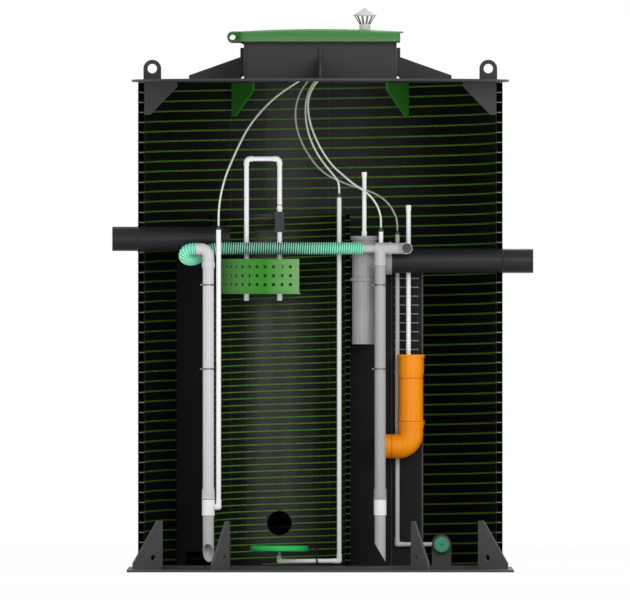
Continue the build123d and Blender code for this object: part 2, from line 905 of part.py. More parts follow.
def pipe_clamps():
    """Clamps round both risers, and those that hold two pipes to the right panel."""
    with BuildPart() as clamps:
        for heights in clamp_rows:
            for (x, y, _), height in zip(riser_places, heights):
                with BuildSketch(Plane.XY.offset(height - clamp_height / 2)):
                    with Locations((x, y)):
                        Circle(clamp_radius)
                    with Locations((x - clamp_radius, y)):
                        Rectangle(2 * clamp_ear, clamp_ear_width)
                    with Locations((x, y)):
                        Circle(riser_radius + fit_gap, mode=Mode.SUBTRACT)
                extrude(amount=clamp_height)
        clamp_depth = panel_y - thin_pipe_y + thin_clamp_thickness / 2
        with BuildSketch(Plane.XY.offset(thin_clamp_height)):
            with Locations((thin_pipe_x, panel_y - clamp_depth / 2)):
                Rectangle(2 * (thin_pipe_radius + thin_clamp_side), clamp_depth)
            with Locations((thin_pipe_x, thin_pipe_y)):
                Circle(thin_pipe_radius + fit_gap, mode=Mode.SUBTRACT)
        extrude(amount=thin_clamp_thickness)
        with BuildSketch(Plane.XY.offset(orange_collar_low)):
            with Locations((orange_x, (orange_y + panel_y) / 2)):
                Rectangle(orange_lip_radius / 2, panel_y - orange_y)
            with Locations((orange_x, orange_y)):
                Circle(orange_lip_radius + fit_gap, mode=Mode.SUBTRACT)
        extrude(amount=orange_lip)
    save(clamps, "pipe_clamps")


def straight_rod(start, end, radius):
    """A round bar from one point to another."""
    way = Vector(*end) - Vector(*start)
    with BuildPart() as rod:
        with BuildSketch(Plane(origin=start, z_dir=way)):
            Circle(radius)
        extrude(amount=way.length)
    return rod.part


def elbowed_pipe(points, radius):
    """A thin pipe of straight runs, with a short elbow fitting over each corner."""
    lap = radius + air_elbow_lap
    with BuildPart() as pipe:
        for start, end in zip(points, points[1:]):
            add(straight_rod(start, end, radius))
        for before, corner, after in zip(points, points[1:], points[2:]):
            with Locations(corner):
                Sphere(lap)
            for other in (before, after):
                way = Vector(*other) - Vector(*corner)
                arm = Vector(*corner) + way.normalized() * min(air_elbow_arm, way.length)
                add(straight_rod(corner, tuple(arm), lap))
    return pipe


def air_pipes():
    """Thin air pipes down to both couplings and to the two diffusers."""
    left = elbowed_pipe(
        [
            (left_riser_x + coupling_radius + fit_gap, left_riser_y, air_elbow_height),
            (left_air_x, left_riser_y, air_elbow_height),
            (left_air_x, left_riser_y, left_air_top),
        ],
        air_pipe_radius,
    )
    right = elbowed_pipe(
        [
            (right_air_x, right_riser_y + coupling_radius + fit_gap, air_elbow_height),
            (right_air_x, right_air_y, air_elbow_height),
            (right_air_x, right_air_y, right_air_top),
        ],
        thin_pipe_radius,
    )
    with BuildPart() as both:
        add(left.part)
        add(right.part)
    save(both, "riser_air_pipes")
    to_tube = elbowed_pipe(
        [
            (tube_x - tube_radius - fit_gap, thin_pipe_y, tube_height),
            (thin_pipe_x, thin_pipe_y, tube_height),
            (thin_pipe_x, thin_pipe_y, thin_pipe_top),
        ],
        thin_pipe_radius,
    )
    save(to_tube, "tube_diffuser_pipe")
    to_disc = elbowed_pipe(
        [
            (inner_axis_x, 0, feed_pipe_low + feed_elbow_rise),
            (inner_axis_x, 0, feed_pipe_low),
            (feed_pipe_x, 0, feed_pipe_low),
            (feed_pipe_x, 0, feed_pipe_top),
        ],
        feed_pipe_radius,
    )
    with BuildPart() as feed:
        add(to_disc.part)
        add(straight_rod(
            (inner_axis_x, 0, feed_pipe_low), (inner_axis_x, 0, disc_low), disc_stem_radius
        ))
    save(feed, "disc_diffuser_pipe")


def fitting_places():
    """Top of each air pipe, where its hose fitting stands."""
    return (
        (left_air_x, left_riser_y, left_air_top),
        (feed_pipe_x, 0, feed_pipe_top),
        (thin_pipe_x, thin_pipe_y, thin_pipe_top),
        (right_air_x, right_air_y, right_air_top),
    )


def hose_fittings():
    """A nut and a tail on top of each air pipe."""
    with BuildPart() as fittings:
        for x, y, z in fitting_places():
            with BuildSketch(Plane.XY.offset(z)):
                with Locations((x, y)):
                    Circle(fitting_nut_radius)
            extrude(amount=fitting_nut_height)
            with BuildSketch(Plane.XY.offset(z + fitting_nut_height)):
                with Locations((x, y)):
                    Circle(fitting_radius)
            extrude(amount=fitting_height - fitting_nut_height)
    save(fittings, "hose_fittings")


def handle():
    """The basket's white handle pipe, its foot caps, and the block that holds it."""
    with BuildPart() as pipe:
        with BuildLine() as route:
            FilletPolyline(
                (handle_left_x, handle_y, handle_bottom + handle_cap_height),
                (handle_left_x, handle_y, handle_top),
                (handle_right_x, handle_y, handle_top),
                (handle_right_x, handle_y, handle_bottom + handle_cap_height),
                radius=handle_bend,
            )
        with BuildSketch(Plane.XY.offset(handle_bottom + handle_cap_height)):
            with Locations((handle_left_x, handle_y)):
                Circle(air_pipe_radius)
        sweep(path=route.line)
        inward = (handle_right_x - handle_left_x) / 2
        for corner, way in ((handle_left_x, 1), (handle_right_x, -1)):
            with BuildLine() as bend:
                FilletPolyline(
                    (corner, handle_y, handle_top - air_elbow_arm),
                    (corner, handle_y, handle_top),
                    (corner + way * min(air_elbow_arm, inward), handle_y, handle_top),
                    radius=handle_bend,
                )
            with BuildSketch(Plane.XY.offset(handle_top - air_elbow_arm)):
                with Locations((corner, handle_y)):
                    Circle(air_pipe_radius + air_elbow_lap)
            sweep(path=bend.line)
        for x in (handle_left_x, handle_right_x):
            with BuildSketch(Plane.XY.offset(handle_bottom)):
                with Locations((x, handle_y)):
                    Circle(handle_cap_radius)
            extrude(amount=handle_cap_height)
        with Locations((handle_right_x, handle_y, handle_ball_height)):
            Sphere(handle_ball_radius)
    save(pipe, "basket_handle")
    middle = (handle_block_low + handle_block_high) / 2
    corner = handle_arm_width / 2 + abs(handle_right_x - inner_axis_x)
    back = math.sqrt(inner_bore**2 - corner**2) - fit_gap
    with BuildPart() as block:
        with Locations((handle_right_x, handle_y, middle)):
            Box(handle_block_width, handle_block_width, handle_block_high - handle_block_low)
        with Locations((handle_right_x, (handle_y + back) / 2, middle)):
            Box(handle_arm_width, back - handle_y, handle_arm_height)
        with BuildSketch(Plane.XY.offset(handle_block_low)):
            with Locations((handle_right_x, handle_y)):
                Circle(air_pipe_radius + fit_gap)
        extrude(amount=handle_block_high - handle_block_low, mode=Mode.SUBTRACT)
    save(block, "handle_block")


def basket():
    """The perforated basket: a round wall, cut flat at its right, on a lipped plate."""
    with BuildPart() as bucket:
        for low, high, radius, cut, mode in (
            (basket_low, basket_high, basket_radius, basket_cut_x, Mode.ADD),
            (basket_low, basket_high, basket_radius - basket_sheet,
             basket_cut_x - basket_sheet, Mode.SUBTRACT),
            (basket_low - basket_plate, basket_low, basket_radius + basket_lip,
             basket_cut_x + basket_lip, Mode.ADD),
        ):
            with BuildSketch(Plane.XY.offset(low)):
                with Locations((inner_axis_x, 0)):
                    Circle(radius)
                with Locations((cut + basket_radius, 0)):
                    Rectangle(2 * basket_radius, 3 * basket_radius, mode=Mode.SUBTRACT)
            extrude(amount=high - low, mode=mode)
        for x in (handle_left_x, handle_right_x):
            with Locations((x, handle_y, basket_low)):
                Hole(air_pipe_radius + fit_gap, depth=2 * basket_plate)
        for index in range(basket_hole_count):
            turn = basket_hole_start + index * basket_hole_pitch
            with BuildSketch(Plane(
                origin=(inner_axis_x, 0, 0),
                x_dir=(-math.sin(math.radians(turn)), math.cos(math.radians(turn)), 0),
                z_dir=(math.cos(math.radians(turn)), math.sin(math.radians(turn)), 0),
            )):
                with Locations([(0, z) for z in basket_hole_rows]):
                    Circle(basket_hole_radius)
            extrude(amount=basket_radius + basket_sheet, mode=Mode.SUBTRACT)
    save(bucket, "basket")


def disc_diffuser():
    """The round green diffuser, the stem under it, and the clip of its pipe."""
    with BuildPart() as disc:
        with BuildSketch(Plane.XY.offset(disc_low)):
            with Locations((inner_axis_x, 0)):
                Circle(disc_radius)
        extrude(amount=disc_thickness)
        fillet(disc.edges().filter_by(GeomType.CIRCLE), disc_edge)
    save(disc, "disc_diffuser")
    with BuildPart() as clip:
        with Locations((clip_x, 0, (floor_top + clip_top) / 2)):
            Box(clip_width, clip_thickness + 2 * feed_pipe_radius, clip_top - floor_top)
        with BuildSketch(Plane.YZ.offset(clip_x - clip_width)):
            with Locations((0, feed_pipe_low)):
                Circle(feed_pipe_radius + fit_gap)
        extrude(amount=2 * clip_width, mode=Mode.SUBTRACT)
    save(clip, "feed_clip")


def tube_diffuser():
    """The tube diffuser along Y, with a cap at each end, on two rounded plates."""
    with BuildPart() as tube:
        for start, length, radius in (
            (tube_front, tube_length, tube_radius),
            (tube_front, tube_cap, tube_cap_radius),
            (tube_front + tube_length - tube_cap, tube_cap, tube_cap_radius),
        ):
            with BuildSketch(Plane.XZ.offset(-start)):
                with Locations((tube_x, tube_height)):
                    Circle(radius)
            extrude(amount=-length)
        ends = tube.faces().sort_by(Axis.Y)
        chamfer([edge for end in (ends[0], ends[-1]) for edge in end.edges()], tube_cap_edge)
    save(tube, "tube_diffuser")
    with BuildPart() as plates:
        for y in (tube_front + tube_bracket_inset, tube_front + tube_length - tube_bracket_inset):
            with BuildSketch(Plane.XZ.offset(-y)):
                with Locations((tube_x, (floor_top + tube_height) / 2)):
                    Rectangle(2 * tube_bracket_half, tube_height - floor_top)
                with Locations((tube_x, tube_height)):
                    Circle(tube_bracket_half)
                    Circle(tube_radius + fit_gap, mode=Mode.SUBTRACT)
            extrude(amount=tube_bracket_thickness / 2, both=True)
    save(plates, "tube_brackets")


def elbow_seat():
    """Height at which the rod's end comes to rest on the inside of the orange elbow."""
    heights = []
    for degrees in range(0, 360, 15):
        turn = math.radians(degrees)
        out = orange_rod_x + orange_rod_radius * math.cos(turn) - (orange_x - orange_bend)
        side = orange_rod_y + orange_rod_radius * math.sin(turn) - orange_y
        reach = orange_bend + math.sqrt(pipe_bore**2 - side**2)
        heights.append(orange_run_height + orange_bend - math.sqrt(reach**2 - out**2))
    return max(heights)


def orange_pipe():
    """The orange overflow pipe, which turns to the left, and the capped rod in it."""
    with BuildPart() as pipe:
        with BuildLine() as route:
            FilletPolyline(
                (orange_x, orange_y, orange_top),
                (orange_x, orange_y, orange_run_height),
                (orange_run_end, orange_y, orange_run_height),
                radius=orange_bend,
            )
        with BuildSketch(Plane.XY.offset(orange_top)):
            with Locations((orange_x, orange_y)):
                Circle(pipe_radius)
        sweep(path=route.line)
        for top, socket in ((orange_top, orange_socket),
                            (orange_collar_low + orange_lip, orange_elbow_socket)):
            for radius, height in ((orange_lip_radius, orange_lip), (orange_socket_radius, socket)):
                with BuildSketch(Plane.XY.offset(top - height)):
                    with Locations((orange_x, orange_y)):
                        Circle(radius)
                extrude(amount=height)
        with BuildSketch(Plane.XY.offset(orange_top)):
            with Locations((orange_x, orange_y)):
                Circle(pipe_bore)
        sweep(path=route.line, mode=Mode.SUBTRACT)
    save(pipe, "orange_pipe")
    rod_low = elbow_seat() + fit_gap
    with BuildPart() as rod:
        with BuildSketch(Plane.XY.offset(rod_low)):
            with Locations((orange_rod_x, orange_rod_y)):
                Circle(orange_rod_radius)
        extrude(amount=orange_rod_top - rod_low)
        with BuildSketch(Plane.XY.offset(orange_rod_top)):
            with Locations((orange_rod_x, orange_rod_y)):
                Circle(orange_rod_cap_radius)
        extrude(amount=orange_rod_cap)
    save(rod, "orange_rod")


def inner_plates():
    """The slanted left partition, the right panel, its side wall and the comb on it."""
    start = Vector(*partition_start)
    end = Vector(partition_end_x, partition_end_y)
    along = (end - start).normalized()
    length = (end - start).length
    upright = Plane(
        origin=(start.X, start.Y, 0), x_dir=(along.X, along.Y, 0),
        z_dir=(along.Y, -along.X, 0),
    )
    with BuildPart() as partition:
        with BuildSketch(upright):
            with Locations((length / 2, (floor_top + partition_top) / 2)):
                Rectangle(length - partition_thickness, partition_top - floor_top)
            with Locations((length * partition_gate_share / 2, floor_top)):
                Rectangle(
                    length * partition_gate_share,
                    2 * (partition_gate - floor_top),
                    mode=Mode.SUBTRACT,
                )
        extrude(amount=partition_thickness / 2, both=True)
    save(partition, "left_partition")
    panel_left = inner_axis_x + math.sqrt(inner_radius**2 - panel_y**2) + fit_gap
    with BuildPart() as panel:
        with BuildSketch(Plane.XZ.offset(-panel_y)):
            with Locations(((panel_left + panel_right) / 2, (floor_top + panel_top) / 2)):
                Rectangle(panel_right - panel_left, panel_top - floor_top)
        extrude(amount=-panel_thickness)
    save(panel, "right_panel")
    side_back = math.sqrt(tank_bore**2 - (panel_right + side_wall_thickness) ** 2)
    with BuildPart() as side_wall:
        with BuildSketch(Plane.YZ.offset(panel_right)):
            with Locations(((panel_y + side_back) / 2, (floor_top + panel_top) / 2)):
                Rectangle(side_back - panel_y, panel_top - floor_top)
        extrude(amount=side_wall_thickness)
    save(side_wall, "panel_side_wall")
    with BuildPart() as comb:
        for index in range(comb_count):
            with Locations(((comb_left + comb_right) / 2, panel_y - comb_depth / 2,
                            comb_top - index * comb_pitch)):
                Box(comb_right - comb_left, comb_depth, comb_thickness)
    save(comb, "comb_strips")


def air_manifold():
    """The air manifold in the neck, fed through the back and open to four hoses."""
    neck_inside = neck_half - neck_wall
    with BuildPart() as manifold:
        with BuildSketch(Plane.YZ.offset(manifold_left)):
            with Locations((manifold_y, manifold_z)):
                Circle(manifold_radius)
        extrude(amount=manifold_right - manifold_left)
        with BuildSketch(Plane.XZ.offset(-manifold_y)):
            with Locations(((manifold_left + manifold_right) / 2, manifold_z)):
                Circle(manifold_feed_radius)
        extrude(amount=-(neck_inside - manifold_y))
        for x in manifold_nipples:
            with BuildSketch(Plane.XY.offset(manifold_nipple_low)):
                with Locations((x, manifold_y)):
                    Circle(manifold_nipple_radius)
            extrude(amount=manifold_z - manifold_nipple_low)
    save(manifold, "air_manifold")


def cord_radii(points):
    """Bend radii that let each arc of a hose be as large as its runs allow."""
    radii = []
    for before, corner, after in zip(points, points[1:], points[2:]):
        run_in = Vector(*corner) - Vector(*before)
        run_out = Vector(*after) - Vector(*corner)
        half_turn = math.radians(run_in.get_angle(run_out)) / 2
        radii.append(0.45 * min(run_in.length, run_out.length) / math.tan(half_turn))
    return radii


def hose_tube(points, radius, radii, name):
    """A plain round hose along straight runs joined by tangent arcs."""
    first = Vector(*points[1]) - Vector(*points[0])
    with BuildPart() as tube:
        with BuildLine() as route:
            FilletPolyline(*points, radius=radii)
        with BuildSketch(Plane(origin=points[0], z_dir=first)):
            Circle(radius)
        sweep(path=route.line)
    save(tube, name)


def hoses():
    """The corrugated hose and the four thin air hoses, all lying free."""
    corrugated = [
        (left_elbow_mouth, left_riser_y, left_elbow_height),
        (-580.0, left_riser_y, left_elbow_height),
        (-619.0, -163.0, 1412.0),
        (-580.0, right_riser_y, 1428.0),
        (-480.0, right_riser_y, right_tee_height),
        (hose_end_x, right_riser_y, right_tee_height),
    ]
    hose_tube(corrugated, hose_radius, [36.0, 50.0, 54.0, 170.0], "corrugated_hose")
    tops = [(x, manifold_y, manifold_nipple_low) for x in manifold_nipples]
    ends = [(x, y, z + fitting_height) for x, y, z in fitting_places()]
    routes = {
        "air_hose_1": [
            tops[0],
            (-55.0, manifold_y, 2262.0),
            (-62.0, 156.0, 2236.0),
            (-84.0, 147.0, 2211.0),
            (-130.0, 128.0, 2182.0),
            (-190.0, 100.0, 2141.0),
            (-240.0, 65.0, 2096.0),
            (-285.0, 25.0, 2046.0),
            (-325.0, -20.0, 1992.0),
            (-360.0, -70.0, 1926.0),
            (-392.0, -120.0, 1856.0),
            (-424.0, -170.0, 1780.0),
            (-446.0, -204.0, 1700.0),
            (-456.0, -219.0, 1625.0),
            (left_air_x, left_riser_y, 1585.0),
            ends[0],
        ],
        "air_hose_2": [
            tops[2],
            (15.0, manifold_y, 2262.0),
            (6.0, 159.0, 2236.0),
            (-24.0, 155.0, 2204.0),
            (-52.0, 148.0, 2160.0),
            (-66.0, 138.0, 2104.0),
            (-67.0, 127.0, 2046.0),
            (-59.0, 112.0, 1990.0),
            (-42.0, 94.0, 1934.0),
            (-12.0, 70.0, 1872.0),
            (24.0, 44.0, 1822.0),
            (58.0, 20.0, 1782.0),
            (79.0, 5.0, 1756.0),
            (feed_pipe_x, 0.0, 1730.0),
            ends[1],
        ],
        "air_hose_3": [
            tops[1],
            (-20.0, manifold_y, 2262.0),
            (-32.0, 163.0, 2232.0),
            (-60.0, 168.0, 2200.0),
            (-90.0, 172.0, 2156.0),
            (-109.0, 176.0, 2100.0),
            (-113.0, 180.0, 2045.0),
            (-106.0, 182.0, 1990.0),
            (-88.0, 184.0, 1936.0),
            (-60.0, 184.0, 1882.0),
            (-18.0, 182.0, 1822.0),
            (30.0, 178.0, 1780.0),
            (80.0, 173.0, 1756.0),
            (136.0, 167.0, 1734.0),
            (194.0, 159.0, 1716.0),
            (250.0, 148.0, 1697.0),
            (302.0, 133.0, 1660.0),
            (332.0, 121.0, 1614.0),
            (thin_pipe_x, thin_pipe_y, 1575.0),
            ends[2],
        ],
        "air_hose_4": [
            tops[3],
            (50.0, manifold_y, 2262.0),
            (38.0, 152.0, 2236.0),
            (-8.0, 136.0, 2210.0),
            (-40.0, 124.0, 2166.0),
            (-57.0, 112.0, 2112.0),
            (-53.0, 98.0, 2046.0),
            (-38.0, 80.0, 1988.0),
            (-14.0, 60.0, 1930.0),
            (15.0, 42.0, 1877.0),
            (56.0, 18.0, 1820.0),
            (102.0, -6.0, 1780.0),
            (148.0, -28.0, 1740.0),
            (194.0, -46.0, 1712.0),
            (230.0, -58.0, 1682.0),
            (258.0, -64.0, 1640.0),
            (271.0, -66.0, 1598.0),
            (right_air_x, right_air_y, 1572.0),
            ends[3],
        ],
    }
    for name, points in routes.items():
        hose_tube(points, air_hose_radius, cord_radii(points), name)


base()
foot_gussets()
tank_walls()
inner_walls()
top_plate()
lifting_lugs()
top_brackets()
neck()
hinge()
lid()
vent_cap()
inlet_and_outlet()
outlet_tee()
riser_feet()
couplings()
riser_tube(left_riser_x, left_riser_y, left_elbow_low, "left_riser")
riser_tube(right_riser_x, right_riser_y, right_tee_low, "right_riser")
left_head()
right_head()
pipe_clamps()
air_pipes()
hose_fittings()
handle()
basket()
disc_diffuser()
tube_diffuser()
orange_pipe()
inner_plates()
air_manifold()
hoses()
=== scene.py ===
"""Packaged sewage treatment plant, cut open at the front.

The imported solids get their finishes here, and the hoses, weld beads, vent cap and
handle end are made. Metres, with the part's own origin and axes.
"""
import json
import math

import bpy
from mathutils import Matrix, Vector


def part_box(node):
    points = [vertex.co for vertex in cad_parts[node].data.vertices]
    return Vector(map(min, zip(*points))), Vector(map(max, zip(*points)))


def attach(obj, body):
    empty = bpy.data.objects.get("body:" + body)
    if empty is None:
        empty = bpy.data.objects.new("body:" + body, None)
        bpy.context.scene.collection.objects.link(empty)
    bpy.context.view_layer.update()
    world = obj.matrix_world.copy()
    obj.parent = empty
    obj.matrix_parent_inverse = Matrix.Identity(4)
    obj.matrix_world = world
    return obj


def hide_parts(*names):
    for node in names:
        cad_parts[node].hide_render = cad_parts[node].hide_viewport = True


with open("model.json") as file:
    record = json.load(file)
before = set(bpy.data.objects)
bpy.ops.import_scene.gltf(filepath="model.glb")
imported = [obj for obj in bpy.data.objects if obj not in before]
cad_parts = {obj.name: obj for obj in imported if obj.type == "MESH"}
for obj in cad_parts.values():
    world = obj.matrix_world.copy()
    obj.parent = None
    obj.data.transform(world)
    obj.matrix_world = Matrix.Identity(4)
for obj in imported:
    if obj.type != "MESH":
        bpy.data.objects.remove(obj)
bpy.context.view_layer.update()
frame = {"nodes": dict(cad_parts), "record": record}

MM = 0.001

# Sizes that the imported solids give
TANK_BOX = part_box("tank_wall_1")
TANK_RADIUS = TANK_BOX[1][0]
TANK_LOW = TANK_BOX[0][2]
TANK_TOP = TANK_BOX[1][2]
DISC_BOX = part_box("disc_diffuser")
INNER_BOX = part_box("inner_wall_1")
INNER_X = DISC_BOX[0][0] / 2 + DISC_BOX[1][0] / 2
INNER_RADIUS = INNER_BOX[1][0] - INNER_X
INNER_TOP = INNER_BOX[1][2]
PANEL_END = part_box("panel_side_wall")[0][0]
LID_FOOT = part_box("lid")[0][2]

# Sizes that the solids share, and that no box gives
TANK_WALL = 28 * MM
TANK_PITCH = 45 * MM
TANK_RIB_TOP = 2152 * MM
INNER_WALL = 19 * MM
INNER_PITCH = 30 * MM
INNER_RIB_TOP = 1577 * MM
CELL_SKIN = 2 * MM
RIB_HALF = 2.3 * MM
PIPE_HOLE = 58 * MM
INLET_HEIGHT = 1493 * MM
OUTLET_HEIGHT = 1394 * MM
PORT_HEIGHT = 211 * MM
PANEL_SEAM = 321 * MM
WALL_SEAMS = (36.7 * MM, -403.7 * MM)
LID_EDGE = 2420 * MM
VENT_EAVES = 37 * MM

# Weld beads on the walls
TANK_BEAD = 8 * MM
INNER_BEAD = 6.4 * MM
BEAD_RISE = 1.2 * MM
BEAD_STEPS = 96
BEAD_PROFILE = ((-0.5, 0.0), (-0.3, 0.8), (0.0, 1.0), (0.3, 0.8), (0.5, 0.0))

# Corrugated hose: its route is the solid's, apart from the loop at its left end,
# whose points are given here
HOSE_DIAMETER = 57 * MM
HOSE_POINTS = [
    (-0.558, -0.220, 1.447),
    (-0.600, -0.220, 1.448),
    (-0.614, -0.190, 1.404),
    (-0.560, -0.130, 1.398),
    (-0.498, -0.106, 1.450),
    (-0.360, -0.106, 1.450),
    (0.100, -0.106, 1.450),
    (0.194, -0.106, 1.450),
]
HOSE_PITCH = 10.4 * MM
HOSE_DEPTH = 4.2 * MM
HOSE_AROUND = 28
HOSE_RINGS_A_PITCH = 8
HOSE_CREST = 1.4
HOSE_LEFT = -0.65
HOSE_SPAN = 0.9

# Thin air hoses, on the solids' own routes
AIR_HOSE_DIAMETER = 9 * MM
AIR_HOSE_POINTS = {
    "air_hose_1": [
        (-0.055, 0.160, 2.295),
        (-0.055, 0.160, 2.262),
        (-0.062, 0.156, 2.236),
        (-0.084, 0.147, 2.211),
        (-0.130, 0.128, 2.182),
        (-0.190, 0.100, 2.141),
        (-0.240, 0.065, 2.096),
        (-0.285, 0.025, 2.046),
        (-0.325, -0.020, 1.992),
        (-0.360, -0.070, 1.926),
        (-0.392, -0.120, 1.856),
        (-0.424, -0.170, 1.780),
        (-0.446, -0.204, 1.700),
        (-0.456, -0.219, 1.625),
        (-0.457, -0.220, 1.585),
        (-0.457, -0.220, 1.551),
    ],
    "air_hose_2": [
        (0.015, 0.160, 2.295),
        (0.015, 0.160, 2.262),
        (0.006, 0.159, 2.236),
        (-0.024, 0.155, 2.204),
        (-0.052, 0.148, 2.160),
        (-0.066, 0.138, 2.104),
        (-0.067, 0.127, 2.046),
        (-0.059, 0.112, 1.990),
        (-0.042, 0.094, 1.934),
        (-0.012, 0.070, 1.872),
        (0.024, 0.044, 1.822),
        (0.058, 0.020, 1.782),
        (0.079, 0.005, 1.756),
        (0.085, 0.000, 1.730),
        (0.085, 0.000, 1.697),
    ],
    "air_hose_3": [
        (-0.020, 0.160, 2.295),
        (-0.020, 0.160, 2.262),
        (-0.032, 0.163, 2.232),
        (-0.060, 0.168, 2.200),
        (-0.090, 0.172, 2.156),
        (-0.109, 0.176, 2.100),
        (-0.113, 0.180, 2.045),
        (-0.106, 0.182, 1.990),
        (-0.088, 0.184, 1.936),
        (-0.060, 0.184, 1.882),
        (-0.018, 0.182, 1.822),
        (0.030, 0.178, 1.780),
        (0.080, 0.173, 1.756),
        (0.136, 0.167, 1.734),
        (0.194, 0.159, 1.716),
        (0.250, 0.148, 1.697),
        (0.302, 0.133, 1.660),
        (0.332, 0.121, 1.614),
        (0.347, 0.115, 1.575),
        (0.347, 0.115, 1.531),
    ],
    "air_hose_4": [
        (0.050, 0.160, 2.295),
        (0.050, 0.160, 2.262),
        (0.038, 0.152, 2.236),
        (-0.008, 0.136, 2.210),
        (-0.040, 0.124, 2.166),
        (-0.057, 0.112, 2.112),
        (-0.053, 0.098, 2.046),
        (-0.038, 0.080, 1.988),
        (-0.014, 0.060, 1.930),
        (0.015, 0.042, 1.877),
        (0.056, 0.018, 1.820),
        (0.102, -0.006, 1.780),
        (0.148, -0.028, 1.740),
        (0.194, -0.046, 1.712),
        (0.230, -0.058, 1.682),
        (0.258, -0.064, 1.640),
        (0.271, -0.066, 1.598),
        (0.273, -0.066, 1.572),
        (0.273, -0.066, 1.543),
    ],
}

# Noise stretches, along X, Y and Z: large numbers lie across the lines
EVEN = (1, 1, 1)
LINES_UP = (90, 90, 2.2)
FINE_LINES_UP = (150, 150, 1.2)
LINES_ACROSS = (2.2, 90, 90)
NO_LINES = (60, 60, 60)
BRUSHED = (30, 30, 900)


def srgb(red, green, blue):
    """A colour given as it shows on screen, 0 to 255, as linear values with alpha."""
    linear = []
    for value in (red, green, blue):
        share = value / 255
        linear.append(
            share / 12.92 if share <= 0.04045 else ((share + 0.055) / 1.055) ** 2.4
        )
    return (*linear, 1.0)


def shade(colour, factor):
    """A lighter or darker colour."""
    return (*(min(1.0, part * factor) for part in colour[:3]), 1.0)


def plug(tree, place, item):
    """Gives a socket its value, or links it to one."""
    if isinstance(item, Value):
        tree.links.new(item.socket, place)
    elif isinstance(item, bpy.types.NodeSocket):
        tree.links.new(item, place)
    else:
        place.default_value = item


class Value:
    """A number in a tree of nodes, which Python's operators combine."""

    def __init__(self, tree, socket):
        self.tree = tree
        self.socket = socket

    def maths(self, operation, *others, swap=False):
        """Adds a Math node on this value and the others."""
        node = self.tree.nodes.new("ShaderNodeMath")
        node.operation = operation
        items = (*others, self) if swap else (self, *others)
        for place, item in zip(node.inputs, items):
            plug(self.tree, place, item)
        return Value(self.tree, node.outputs[0])

    def __add__(self, other):
        return self.maths("ADD", other)

    def __sub__(self, other):
        return self.maths("SUBTRACT", other)

    def __mul__(self, other):
        return self.maths("MULTIPLY", other)

    def __truediv__(self, other):
        return self.maths("DIVIDE", other)

    def __radd__(self, other):
        return self.maths("ADD", other)

    def __rsub__(self, other):
        return self.maths("SUBTRACT", other, swap=True)

    def __rmul__(self, other):
        return self.maths("MULTIPLY", other)

    def __rtruediv__(self, other):
        return self.maths("DIVIDE", other, swap=True)

    def __abs__(self):
        return self.maths("ABSOLUTE")

    def __lt__(self, other):
        return self.maths("LESS_THAN", other)

    def __gt__(self, other):
        return self.maths("GREATER_THAN", other)


class Nodes:
    """A tree of nodes in the making, of a material or of the world."""

    def __init__(self, tree):
        self.tree = tree

    def node(self, kind, settings, values):
        """Adds a node: its settings first, then its sockets' values or links."""
        made = self.tree.nodes.new(kind)
        for key, value in settings.items():
            if key == "stops":
                ramp = made.color_ramp
                while len(ramp.elements) < len(value):
                    ramp.elements.new(1)
                for element, (position, colour) in zip(ramp.elements, value):
                    element.position = position
                    element.color = colour
            else:
                setattr(made, key, value)
        for key, value in values.items():
            plug(self.tree, made.inputs[key], value)
        return made

    def own(self, kind):
        """The node of this type that the tree starts with."""
        return next(node for node in self.tree.nodes if node.type == kind)

    def numbers(self, node, *names):
        """A node's outputs as numbers, by their names."""
        return [Value(self.tree, node.outputs[name]) for name in names]


